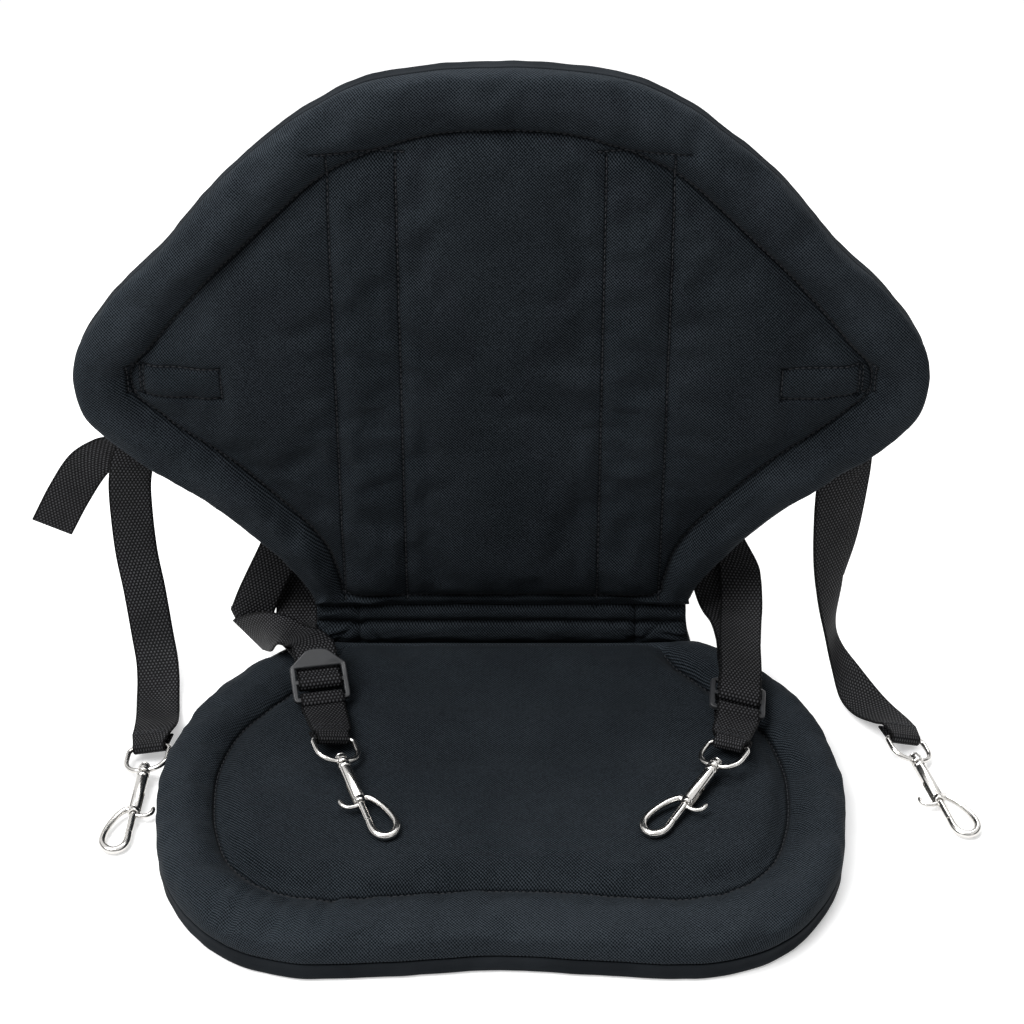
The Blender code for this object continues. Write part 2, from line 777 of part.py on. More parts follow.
def eye_mesh(mat):
    """The swivel eye: a D ring with a bored boss."""
    ring = []
    for middle, radius, start, end, count in (
        ((EYE_HALF - 3.5, EYE_BAR + 3.5), 3.5, -90, 0, 3),
        ((EYE_HALF - 9.0, EYE_FRONT - 9.0), 9.0, 0, 90, 5),
        ((-EYE_HALF + 9.0, EYE_FRONT - 9.0), 9.0, 90, 180, 5),
        ((-EYE_HALF + 3.5, EYE_BAR + 3.5), 3.5, 180, 270, 3),
    ):
        for k in range(count + 1):
            a = math.radians(start + (end - start) * k / count)
            ring.append((middle[0] + radius * math.cos(a), middle[1] + radius * math.sin(a)))
    boss = [(BOSS[1], BOSS_R - 0.5), (BOSS[1] - 0.5, BOSS_R), (BOSS[0] + 0.8, BOSS_R), (BOSS[0], BOSS_R - 0.8)]
    hole = [(BOSS[1] + 2, NECK_HOLE_R), (BOSS[0] - 2, NECK_HOLE_R)]
    steps = [("UNION", turned(boss, 14)), ("DIFFERENCE", turned(hole, 14))]
    mesh = combine("swivel_eye", swept(ring, EYE_WIRE, 8, closed=True), steps, mat)
    mesh.transform(Matrix.Translation((0, EYE_BAR * MM, 0)))
    return mesh


def bolt_mesh(mat):
    """The sliding bolt with its curled thumb stud."""
    tip = NOSE - GAP
    profile = [(tip, BOLT_R - 0.5), (tip - 0.5, BOLT_R), (BOLT_BACK + 0.4, BOLT_R), (BOLT_BACK, BOLT_R - 0.4)]
    stud = open_curve([(-0.9, 0.9), (-4.2, 1.5), (-7.4, 1.0), (-9.8, -1.6), (-10.2, -5.6)], 2)
    return combine("bolt", turned(profile, 12), [("UNION", swept(stud, STUD_R, 6))], mat)


def spring_mesh(mat):
    """The coil behind the bolt."""
    start, end = BORE_END + 0.6, BOLT_BACK - 0.6
    count = SPRING_TURNS * 7
    points, faces = [], []
    for i in range(count + 1):
        a = 2 * math.pi * i / 7
        d = start + (end - start) * i / count
        for k in range(4):
            b = math.pi / 2 * k
            r = SPRING_R + SPRING_WIRE * math.cos(b)
            points.append((r * math.cos(a), -d - SPRING_WIRE * math.sin(b), r * math.sin(a)))
    for i in range(count):
        faces += [(4 * i + k, 4 * i + (k + 1) % 4, 4 * i + 4 + (k + 1) % 4, 4 * i + 4 + k) for k in range(4)]
    faces += [(0, 1, 2, 3), tuple(4 * count + k for k in range(4))]
    ob = new_object("spring", points, faces, mat)
    mesh = ob.data
    bpy.data.objects.remove(ob, do_unlink=True)
    return mesh


def anchor(word, axes):
    """Stations of the webbing that holds an outer buckle: sewn flat, folded down, round the end bar."""
    side = -1 if word == "outer_left" else 1
    slope = WEB / 2
    x = in_frame(axes, 0, BUCKLE_ENDS[1], 0)[0]
    y = BACK_REAR + GAP + WEB_THICK / 2
    across = -side * slope
    stations = [(side * ANCHOR_START, y, ANCHOR_HEIGHT, 0, 0, slope)]
    stations += [(x - side * (slope + 1), y, ANCHOR_HEIGHT, 0, 0, slope)]
    stations += fold((x, y, ANCHOR_HEIGHT), (across, 0, slope), (side, 0, 1), (0, 1, 0))
    stations += [(x, y + 2.0, ANCHOR_HEIGHT - slope - 1.5, across, 0, 0)]
    end = [(BUCKLE_ENDS[1] + 4, 3.0), (BUCKLE_ENDS[1] + 16, 2.6)]
    return stations + round_end_bar(axes, -100, -260, -side * 12.3) + in_buckle(axes, end, -side * 12.3)


def inner_tail(word):
    """The loose end of an inner strap, from its buckle to behind the backrest."""
    if word == "inner_right":
        return smooth_run(TAILS[word])
    middle, crease = LEFT_CREASE
    turn = fold(middle, crease, (-0.44, 0.36, -0.77), (0.5, 0.81, 0.1))
    before = smooth_run(TAILS["inner_left_fold"] + turn[:1])
    return before + turn[1:] + smooth_run(TAILS["inner_left_end"])


def put(name, mesh, axes):
    ob = bpy.data.objects.new(name, mesh)
    bpy.context.scene.collection.objects.link(ob)
    moved = axes.copy()
    moved.translation = axes.translation * MM
    ob.matrix_world = moved
    return ob


def sewn_loop(eye, axes):
    """A short loop of webbing between an inner buckle's end bar and a hook's eye."""
    end = BUCKLE_ENDS[1]
    bar = np.array(beside_eye(eye, [(EYE_BAR, 0)], 12.0)[0])
    far = np.array(in_buckle(axes, [(end + 1.5, 0)], 12.0)[0])
    past = bar + (far - bar) * 9.5 / np.linalg.norm(far[:3] - bar[:3])
    up = np.array([*in_frame(eye, 0, 0, 1.6) - in_frame(eye, 0, 0, 0), 0, 0, 0])
    stations = [tuple(past - up)] + beside_eye(eye, [(NEAR_BAR, -2.3)], 10.3)
    stations += round_eye(eye, -80, 80)
    bridge = beside_eye(eye, [(NEAR_BAR, 2.3)], 10.3) + [tuple(past + up)]
    stations += smooth_run(bridge + in_buckle(axes, [(end + 6, 2.4), (end + 1.5, 3.2)]), 3)
    stations += round_end_bar(axes, 80, 280)
    stations += in_buckle(axes, [(end + 2, -3.0), (end + 5, -2.0)])
    return stations


def main():
    for ob in list(bpy.data.objects):
        bpy.data.objects.remove(ob, do_unlink=True)

    cover = material("cover_fabric", (0.012, 0.014, 0.017), 0.85)
    under = material("underside_fabric", (0.010, 0.011, 0.013), 0.9)
    web = material("webbing", (0.014, 0.014, 0.015), 0.7)
    plastic = material("buckle_plastic", (0.03, 0.031, 0.033), 0.4)
    nickel = material("nickel_plate", (0.78, 0.77, 0.75), 0.16, 1.0)
    steel = material("spring_steel", (0.55, 0.55, 0.55), 0.35, 1.0)
    alloy = material("stay_alloy", (0.62, 0.63, 0.64), 0.4, 1.0)

    padded_panel("backrest_pad", BACK_HALF, standing, cover, channels=True, stays=True)
    panel_cover("backrest_rear_cover", BACK_HALF, standing, under)
    padded_panel("seat_pad", SEAT_HALF, lying, cover)
    panel_cover("seat_bottom_cover", SEAT_HALF, lying, under)
    hinge_flap(cover)
    for side, word in ((-1, "left"), (1, "right")):
        stay(f"stay_{word}", side, alloy)

    meshes = {
        "hook_body": hook_body_mesh(nickel),
        "swivel_eye": eye_mesh(nickel),
        "bolt": bolt_mesh(nickel),
        "spring": spring_mesh(steel),
    }
    hooks = {}
    for word, (origin, heading, pitch, roll, tilt) in HOOKS.items():
        body = frame(origin, heading, pitch, roll)
        hooks[word] = frame(origin, heading, pitch, tilt)
        at_bar = hooks[word] @ Matrix.Translation((0, -EYE_BAR, 0))
        for part, mesh in meshes.items():
            put(f"{part}_{word}", mesh, at_bar if part == "swivel_eye" else body)

    buckles = {}
    for word, (origin, heading, pitch, roll) in BUCKLES.items():
        buckle(f"buckle_{word}", frame(origin, heading, pitch, roll), plastic)
        buckles[word] = frame(origin, heading, pitch, roll % 180)

    for word in ("outer_left", "outer_right"):
        eye, axes = hooks[word], buckles[word]
        stations = beside_eye(eye, [(PAST_BAR - 1, -1.6)], 11.8)
        stations += beside_eye(eye, [(NEAR_BAR, -2.3)], 10.0) + round_eye(eye, -80, 80)
        stations += beside_eye(eye, [(NEAR_BAR, 2.3)], 10.0)
        stations += smooth_run(beside_eye(eye, [(PAST_BAR, 1.6)], 11.6) + RUNS[word])
        stations += through_buckle(axes)
        stations += smooth_run(TAILS[word])
        ribbon(f"strap_{word}", stations, web)
        ribbon(f"anchor_{word}", anchor(word, axes), web)

    for word in ("inner_left", "inner_right"):
        eye, axes = hooks[word], buckles[word]
        ribbon(f"hook_loop_{word}", sewn_loop(eye, axes), web)
        up = -1 if BUCKLES[word][3] >= 180 else 1
        stations = smooth_run(RUNS[word]) + through_buckle(axes, up) + inner_tail(word)
        ribbon(f"strap_{word}", stations, web)

    for ob in bpy.data.objects:
        ob.location.y += SEAT_MIDDLE * MM


main()
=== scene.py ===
"""Looks of a folding padded kayak seat: cushions, fabric hinge, webbing, buckles and snap hooks.

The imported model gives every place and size. The tables below repeat its outlines and routes in
millimetres, with the seat's middle at the origin and its front towards -Y.
"""

from __future__ import annotations

import logging
import math
from dataclasses import dataclass, field
from enum import Enum
from typing import Any, Sequence

import bmesh
import bpy
import numpy as np
from mathutils import Matrix, Vector, noise
from mathutils.bvhtree import BVHTree
from mathutils.geometry import delaunay_2d_cdt
from mathutils.kdtree import KDTree


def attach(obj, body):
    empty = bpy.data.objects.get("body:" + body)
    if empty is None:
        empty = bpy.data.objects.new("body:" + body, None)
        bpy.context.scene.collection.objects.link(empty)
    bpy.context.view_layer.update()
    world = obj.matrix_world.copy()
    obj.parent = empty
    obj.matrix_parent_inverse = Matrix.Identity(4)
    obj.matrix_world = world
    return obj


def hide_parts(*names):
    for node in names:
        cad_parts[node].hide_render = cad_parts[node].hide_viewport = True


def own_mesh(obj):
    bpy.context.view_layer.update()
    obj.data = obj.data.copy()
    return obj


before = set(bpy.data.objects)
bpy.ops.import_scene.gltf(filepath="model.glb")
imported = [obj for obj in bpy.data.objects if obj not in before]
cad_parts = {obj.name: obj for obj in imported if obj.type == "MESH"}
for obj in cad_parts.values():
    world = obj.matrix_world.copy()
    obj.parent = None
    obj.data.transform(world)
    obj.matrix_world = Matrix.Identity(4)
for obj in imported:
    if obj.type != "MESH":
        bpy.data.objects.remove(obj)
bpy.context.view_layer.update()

LOG = logging.getLogger("kayak_seat")

Point = Sequence[float]
Colour = tuple[float, float, float]
Stations = list[tuple[float, ...]]

MM = 0.001
GAP = 0.3
SEAT_MIDDLE = 135.0

# Padded panels
COVER = 1.2
LIP = 11.0
EDGE = 13.5
SEAM = 18.0
CROWN = 25.0
PANEL = 25.0
FULL_RIM = 30.0
SEAM_FADE = 9.0
CROWN_RING = 36
FACE_RING = 20
INSET = 0.08
EDGE_STEP = 3.6
FAR = 60.0
CENTRE_AWAY = 80.0
SEWN_WIDTH = 0.8
BACK_REAR = 12.0
BACK_FOOT = 41.4
SEAT_REAR = -3.8
STAY_AT = 73.0
CHANNEL_HALF = 18.0
CHANNEL_FOOT = 48.0
CHANNEL_TOP = 331.0
POCKET_TOP = (50.0, 100.0)
POCKET_TOP_STITCH = 0.5
FLAP_HALF = 106.0
BACK_CENTRE = (0, 190)
SEAT_CENTRE = (0, -130)
BACK_SEED = 1.0
SEAT_SEED = 5.0

# Webbing and hooks
WEB = 25.0
WEB_THICK = 1.4
WEB_IN_EYE = 18.6
HALF_IN_BUCKLE = 12.3
END_BAR_TURN = 3.4
EYE_TURN = (-80, 80)
EYE_TURN_RADIUS = 2.5
BARREL_LENGTH = 31.0
EYE_BAR = -52.5
NEAR_BAR = -56.0
PAST_BAR = -62.0
BUCKLE_END = 15.5
SLOT_A = (-5.6, 1.6)
SLOT_B = (4.6, 12.5)
ANCHOR_START = 152.0
ANCHOR_HEIGHT = 197.0
PATCH_AT = (175.0, 196.0)
PATCH_SIZE = (43.0, 19.0)
SEWN_BOXES = ((PATCH_AT[0], PATCH_AT[1], PATCH_SIZE[0] / 2, PATCH_SIZE[1] / 2), (202.0, 196.5, 3.6, 8.5))

BACK_HALF = [
    (0, 376, 0, 343), (38, 374, 35, 341), (70, 368, 62, 333), (98, 354, 85, 323),
    (120, 338, 102, 311), (143, 318, 120, 294), (164, 295, 138, 276), (181, 274, 154, 260),
    (205, 250, 175, 236), (227, 222, 191, 216), (235, 204, 201, 205), (235.5, 188, 204, 195),
    (231, 170, 201, 184), (218, 153, 189, 173), (205, 142, 179, 164), (167, 113, 150, 141),
    (141, 89, 128, 119), (125, 71, 111, 100), (114.5, 57, 99, 81), (109, 45, 93, 59),
    (104, BACK_FOOT, 88, 50), (50, BACK_FOOT, 46, 50), (0, BACK_FOOT, 0, 50),
]
SEAT_HALF = [
    (0, -266.5, 0, -224), (30, -268.5, 27, -225), (57, -270.5, 52, -227.5), (84, -272.5, 74, -229.5),
    (109, -271, 96, -230), (136, -261, 121, -223), (160, -239, 141, -205), (178, -205, 151, -179),
    (185.5, -162, 155, -150), (186, -123, 154, -122), (175, -77, 145, -91), (151, -38, 122, -59),
    (122, -12, 103, -35), (108, -5, 96, -22), (96, SEAT_REAR, 88, -11), (48, SEAT_REAR, 46, -11),
    (0, SEAT_REAR, 0, -11),
]
FLAP_SECTION = [
    (-3.4, 9.5), (-3.5, 15), (-6.3, 18.5), (-7.6, 23), (-6.4, 28), (-2.6, 31), (-5.6, 33.8), (-6.2, 37),
    (-4.6, 40), (-1.5, 41.1), (2.5, 41.1), (4.6, 38), (3.4, 31.5), (4.8, 25), (4.4, 16), (1.5, 9.5),
]
HOOKS = {
    "outer_left": ((-200.1, -148.1, 4.8), -3.1, 5.0, 180.0, -12.0),
    "outer_right": ((240.0, -137.1, 4.4), 14.5, 4.0, 0.0, 20.0),
    "inner_left": ((-74.6, -169.5, 30.1), 20.0, 5.0, 0.0, 17.0),
    "inner_right": ((97.6, -170.6, 30.1), -31.1, 5.0, 180.0, -9.0),
}
BUCKLES = {
    "outer_left": ((-205, 18.8, 163), 0.0, -90.0, 3.0),
    "outer_right": ((199, 17.8, 163), 0.0, -90.0, 0.0),
    "inner_left": ((-102.9, -68.0, 38.2), 11.0, 28.0, 0.0),
    "inner_right": ((132.5, -79.0, 34.0), -6.0, 8.0, 194.0),
}
RUNS = {
    "outer_left": [
        (-196.2, -76, 9.6, 12.4, 0, 1.5), (-197.5, -60, 4.6, 12.4, 0.8, 0), (-199.5, -42, 3.4, 12.4, 1.0, 0.5),
        (-200.5, -30, 7.5, 12.4, 0.6, 1.0), (-202, -20, 15, 12.4, 0, 1.5), (-205, -10, 26, 12.4, 0, 1.5),
        (-209, 1, 49, 12.4, 0, 1.7), (-213, 8, 75, 12.4, 0, 1.5), (-214, 12.6, 110, 12.4, 0, 0.6),
        (-211.5, 13.6, 130, 12.4, 0, -1.0),
    ],
    "outer_right": [
        (221, -70, 8.3, 10.9, 4.4, -2.4), (211.5, -53, 5.6, 9.9, 7.0, 0.5), (202, -35, 9.2, 6.6, 9.6, 4.0),
        (195.5, -19, 17, 3.6, 11.7, 1.5), (192.6, -9, 28, 3.8, 11.9, 0), (191.6, 0, 49, 8.0, 9.6, 0),
        (190.6, 6.4, 75, 10.4, 6.9, 0), (191.4, 11.4, 112, 11.6, 4.6, 0), (196.0, 13.5, 130, 12.5, 0, 0),
    ],
    "inner_left": [
        (-116, 13.0, 138, 12.5, 0, 0), (-116, 13.0, 112, 12.5, 0, 0), (-117, 16.4, 95, 12.5, 0, 0),
        (-119, 18.4, 75, 12.5, 0, 0), (-120.5, 18.6, 57, 12.5, 0, 0), (-121.2, 17.6, 42, 12.5, 0, 0),
        (-121.6, 13.5, 30, 12.4, 0.3, 0), (-121.4, 4.0, 24.5, 12.4, 0.8, 0), (-120.8, -6, 27.6, 12.3, 1.4, 0),
        (-118.6, -17, 31.6, 12.2, 2.0, 0), (-113.5, -34, 36.2, 12.2, 2.4, 0),
    ],
    "inner_right": [
        (116, 13.0, 138, 12.5, 0, 0), (116, 13.0, 112, 12.5, 0, 0), (120, 13.6, 96, 12.4, 0, -1.5),
        (130, 14.0, 78, 12.2, 0, -2.6), (138, 13.8, 61, 12.3, 0, -2.0), (140, 12.0, 51, 12.4, 0, -1.0),
        (140.5, 6.0, 43.5, 12.4, 0, 0), (140.1, -3.0, 39.2, 12.3, -1.0, 0), (138.8, -14, 38.6, 12.2, -1.6, -1.4),
        (136.4, -38, 40.0, 12.1, -1.4, -2.6),
    ],
}
TAILS = {
    "outer_left": [
        (-210, 17.0, 143, 12.4, 0, -2.0), (-222, 20, 136, 12.0, 0, -4.2), (-238, 24, 122, 11.2, 0, -5.6),
        (-252, 26.4, 100, 11.2, 0, -5.6), (-264.6, 28, 76, 11.2, 0, -5.4),
    ],
    "outer_right": [
        (199.8, 18.2, 140, 12.4, 0.4, 0), (200.8, 18.6, 115, 11.6, 4.4, 0), (198.3, 15.4, 76, 10.2, 7.2, 0),
        (193.9, 7.2, 50, 7.6, 9.8, 0),
    ],
    "inner_left_fold": [
        (-107.5, -47, 45, 11.8, 3.5, 0), (-112.5, -41, 45, 9, 8.5, -1), (-119, -34, 41.8, 5, 11, -1),
        (-126, -28, 41, 3, 11.5, 1.5), (-134.5, -19, 34, -1, 10, 7), (-143, -6, 24, -5.5, 6.5, 9),
    ],
    "inner_left_end": [
        (-150.0, 8.5, 23.5, -11.0, 3.0, 5.0), (-142.5, 10.5, 42, -11.8, 1.2, 3.6),
        (-131.5, 14.2, 65, -12.0, 0.2, 3.4), (-125, 14.2, 80, -12.2, 0, 2.6), (-119, 13.8, 93, -12.4, 0, 1.5),
    ],
    "inner_right": [
        (134.6, -53, 37.0, 12.1, -1.4, -2.6), (135.4, -34, 35.8, 12.2, -1.2, -2.2),
        (134, -12, 34.0, 12.3, -1.0, -0.8),
        (130, -1.0, 34.6, 12.3, 0, -1.0), (127, 6.5, 37.4, 12.3, 0, -1.5), (124.3, 12.6, 43.5, 12.3, 0, -2.5),
        (122, 16.0, 52, 12.3, 0, -2.5), (118.5, 17.0, 64, 12.4, 0, -2.0), (114, 17.0, 78, 12.4, 0, -1.0),
    ],
}
LEFT_CREASE = ((-150.5, 5.5, 14), (-9.2, 4.8, 7.5))


class Lie(Enum):
    """Which way a padded panel faces."""

    FLAT = "flat"
    UPRIGHT = "upright"

    def place(self, flat: np.ndarray, height: np.ndarray | float) -> np.ndarray:
        """Puts plan points at heights above the panel's underside.

        Args:
            flat: Plan points, (n, 2).
            height: Their heights, one number or n.

        Returns:
            Points in the row frame, in millimetres, (n, 3).
        """
        height = np.broadcast_to(height, len(flat))
        if self is Lie.FLAT:
            return np.stack([flat[:, 0], flat[:, 1] + SEAT_MIDDLE, height], 1)
        return np.stack([flat[:, 0], BACK_REAR - height + SEAT_MIDDLE, flat[:, 1]], 1)

    def outwards(self) -> Vector:
        """The way the panel's padded face looks."""
        return Vector((0, 0, 1)) if self is Lie.FLAT else Vector((0, -1, 0))


# Curves and small geometry


def curve_point(a: Any, b: Any, c: Any, d: Any, t: float) -> Any:
    """A point between b and c on the round curve through a, b, c and d."""
    return 0.5 * (2 * b + (c - a) * t + (2 * a - 5 * b + 4 * c - d) * t**2 + (3 * b - a - 3 * c + d) * t**3)


def closed_curve(ring: Sequence[Point], step: float) -> np.ndarray:
    """A round closed curve through points, cut into pieces of about one length.

    Args:
        ring: The points; the first two numbers of each set the length of a piece.
        step: That length.

    Returns:
        The curve's points.
    """
    known = [np.array(p, float) for p in ring]
    out = []
    for i, here in enumerate(known):
        before, after, later = known[i - 1], known[(i + 1) % len(known)], known[(i + 2) % len(known)]
        pieces = max(1, round(float(np.linalg.norm((after - here)[:2])) / step))
        out += [curve_point(before, here, after, later, k / pieces) for k in range(pieces)]
    return np.array(out)


def mirrored(half: Sequence[Point]) -> list[np.ndarray]:
    """The whole of a symmetric outline, from the points of its half."""
    ring = [np.array(p, float) for p in half]
    return ring + [p * (-1, 1, -1, 1) for p in ring[-2:0:-1]]


def open_curve(stations: Sequence[Any], pieces: int) -> np.ndarray:
    """A round curve through stations of any shape, with straight ends."""
    s = [np.array(p, float) for p in stations]
    s = [2 * s[0] - s[1]] + s + [2 * s[-1] - s[-2]]
    out = [curve_point(*s[i : i + 4], k / pieces) for i in range(len(s) - 3) for k in range(pieces)]
    return np.array(out + [s[-2]])


def inwards(ring: np.ndarray) -> np.ndarray:
    """The unit normals of a closed plan line, towards its inside."""
    along = np.roll(ring, -1, 0) - np.roll(ring, 1, 0)
    along /= np.linalg.norm(along, axis=1)[:, None]
    normal = np.stack([-along[:, 1], along[:, 0]], 1)
    return normal if normal[0] @ (ring.mean(0) - ring[0]) > 0 else -normal


def distance_to(points: np.ndarray, ring: np.ndarray, closed: bool = True) -> np.ndarray:
    """The distance from each plan point to a line.

    Args:
        points: Plan points, (n, 2).
        ring: The line's points.
        closed: Whether its end joins its start.

    Returns:
        n distances.
    """
    a, b = (ring, np.roll(ring, -1, 0)) if closed else (ring[:-1], ring[1:])
    ab = b - a
    out = []
    for part in np.array_split(points, max(1, len(points) // 2000)):
        t = ((part[:, None] - a) * ab).sum(2) / (ab**2).sum(1)
        near = a + t.clip(0, 1)[:, :, None] * ab
        out.append(np.linalg.norm(part[:, None] - near, axis=2).min(1))
    return np.concatenate(out)


def waves(points: np.ndarray, size: float, seed: float) -> np.ndarray:
    """Smooth seeded noise from -1 to 1 at each point, with waves of one size."""
    flat = np.zeros((len(points), 3))
    flat[:, : points.shape[1]] = points / size
    return np.array([noise.noise(Vector(p) + Vector((0, 0, seed))) for p in flat])


def unit(v: np.ndarray) -> np.ndarray:
    """A vector's direction."""
    return v / np.linalg.norm(v)


def grid_faces(rows: int, columns: int, closed: bool = True) -> list[tuple[int, ...]]:
    """Quads between rows of points, each row joined to the next."""
    last = columns if closed else columns - 1
    return [
        (start + c, start + (c + 1) % columns, start + columns + (c + 1) % columns, start + columns + c)
        for start in range(0, (rows - 1) * columns, columns)
        for c in range(last)
    ]


def capped_faces(rows: int, columns: int) -> list[tuple[int, ...]]:
    """The faces of a closed rod: quads between its rows of points and one face on each end."""
    ends = [tuple(range(columns)), tuple(range((rows - 1) * columns, rows * columns))]
    return grid_faces(rows, columns) + ends


def add_object(name: str, data: bpy.types.ID) -> bpy.types.Object:
    """A new object in the scene."""
    ob = bpy.data.objects.new(name, data)
    bpy.context.scene.collection.objects.link(ob)
    return ob


def points_of(mesh: bpy.types.Mesh) -> np.ndarray:
    """A mesh's points, in metres."""
    return np.array([v.co for v in mesh.vertices])


def make_mesh(
    name: str,
    points: np.ndarray,
    faces: list[tuple[int, ...]],
    cloth: np.ndarray | None = None,
    seam: np.ndarray | None = None,
) -> bpy.types.Mesh:
    """A smooth closed mesh.

    Args:
        name: The mesh's name.
        points: Its points in millimetres.
        faces: Its faces.
        cloth: Where each point lies on the flat cloth, in millimetres, for the weave.
        seam: Each point's signed distance from the nearest sewn groove, in millimetres; the twill shapes the
            grooves' relief from it, paints shade into them and paints a highlight onto the rim.

    Returns:
        The mesh, in metres.
    """
    mesh = bpy.data.meshes.new(name)
    mesh.from_pydata((np.asarray(points) * MM).tolist(), [], faces)
    bm = bmesh.new()
    bm.from_mesh(mesh)
    bmesh.ops.recalc_face_normals(bm, faces=bm.faces)
    bm.to_mesh(mesh)
    bm.free()
    mesh.shade_smooth()
    corners = np.zeros(len(mesh.loops), np.int32)
    mesh.loops.foreach_get("vertex_index", corners)
    if cloth is not None:
        layer = mesh.uv_layers.new(name="cloth")
        layer.data.foreach_set("uv", (np.asarray(cloth)[corners] * MM).astype(np.float32).ravel())
    if seam is not None:
        mesh.attributes.new("seam", "FLOAT", "POINT").data.foreach_set("value", np.asarray(seam, np.float32))
    return mesh


def make_piece(
    name: str,
    mesh: bpy.types.Mesh,
    material: bpy.types.Material,
    body: str = "seat",
    nodes: Sequence[str] = (),
    axes: Matrix | None = None,
) -> bpy.types.Object:
    """Puts a mesh in the scene as a piece of the object.

    Args:
        name: The piece's name.
        mesh: Its mesh, which other pieces may share.
        material: Its finish.
        body: The body that it moves with.
        nodes: The plain solids that it stands for.
        axes: Where it goes, in metres, if its mesh isn't in place already.

    Returns:
        The piece.
    """
    ob = add_object(name, mesh)
    if axes is not None:
        ob.matrix_world = axes
    if not mesh.materials:
        mesh.materials.append(material)
    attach(ob, body)
    if nodes:
        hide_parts(*nodes)
    LOG.info("%s: %d faces, moves with %s", name, len(mesh.polygons), body)
    return ob


def axes_at(origin: Point, heading: float, pitch: float, roll: float = 0.0) -> Matrix:
    """A hook's or buckle's own axes in millimetres: X across, Y back towards the strap, Z out of its face."""
    turn = Matrix.Rotation(math.radians(heading), 4, "Z")
    tip = Matrix.Rotation(math.radians(pitch), 4, "X")
    lean = Matrix.Rotation(math.radians(roll), 4, "Y")
    return Matrix.Translation(Vector(origin) + Vector((0, SEAT_MIDDLE, 0))) @ turn @ tip @ lean


def in_metres(axes: Matrix) -> Matrix:
    """The same axes with their place in metres."""
    moved = axes.copy()
    moved.translation = axes.translation * MM
    return moved


def in_axes(axes: Matrix, x: float, d: float, n: float) -> np.ndarray:
    """A point x across, d towards the hook's tip and n out of the face."""
    return np.array(axes @ Vector((x, -d, n)))


# Shader building


class Term:
    """A value in a material, so that sums and products of it are written as expressions."""

    def __init__(self, graph: NodeTree, socket: bpy.types.NodeSocket) -> None:
        """Wraps one output socket of a graph."""
        self.graph = graph
        self.socket = socket

    def math(self, operation: str, *others: Term | float, flip: bool = False) -> Term:
        """A Math node on this value and others, in the other order if flip is set."""
        values = [self, *others]
        if flip:
            values.reverse()
        return self.graph.node("ShaderNodeMath", {"operation": operation}, dict(enumerate(values)))

    def __add__(self, other: Term | float) -> Term:
        """The sum."""
        return self.math("ADD", other)

    def __radd__(self, other: float) -> Term:
        """The sum, with a number first."""
        return self.math("ADD", other, flip=True)

    def __sub__(self, other: Term | float) -> Term:
        """The difference."""
        return self.math("SUBTRACT", other)

    def __rsub__(self, other: float) -> Term:
        """The difference, with a number first."""
        return self.math("SUBTRACT", other, flip=True)

    def __mul__(self, other: Term | float) -> Term:
        """The product."""
        return self.math("MULTIPLY", other)

    def __rmul__(self, other: float) -> Term:
        """The product, with a number first."""
        return self.math("MULTIPLY", other, flip=True)

    def __truediv__(self, other: Term | float) -> Term:
        """The quotient."""
        return self.math("DIVIDE", other)

    def bell(self, width: float) -> Term:
        """1 where the value is 0, falling to 0 over a width either side."""
        scaled = self / width
        return (scaled * scaled * -1.0).math("EXPONENT")


class NodeTree:
    """A node tree under construction."""

    def __init__(self, tree: bpy.types.NodeTree) -> None:
        """Wraps a tree."""
        self.tree = tree

    def node(self, kind: str, settings: dict[str, Any], inputs: dict[Any, Any], output: Any = 0) -> Term:
        """Adds a node.

        Args:
            kind: The node's type.
            settings: Its properties, set first; stops gives a ramp's positions and colours.
            inputs: Values or terms for its sockets, by name or number.
            output: The output that is wanted.

        Returns:
            That output.
        """
        made = self.tree.nodes.new(kind)
        for key, value in settings.items():
            if key != "stops":
                setattr(made, key, value)
        for i, (position, colour) in enumerate(settings.get("stops", ())):
            ramp = made.color_ramp
            element = ramp.elements[i] if i < 2 else ramp.elements.new(position)
            element.position = position
            element.color = (*colour, 1)
        for key, value in inputs.items():
            if isinstance(value, Term):
                self.tree.links.new(value.socket, made.inputs[key])
            else:
                made.inputs[key].default_value = value
        return Term(self, made.outputs[output])


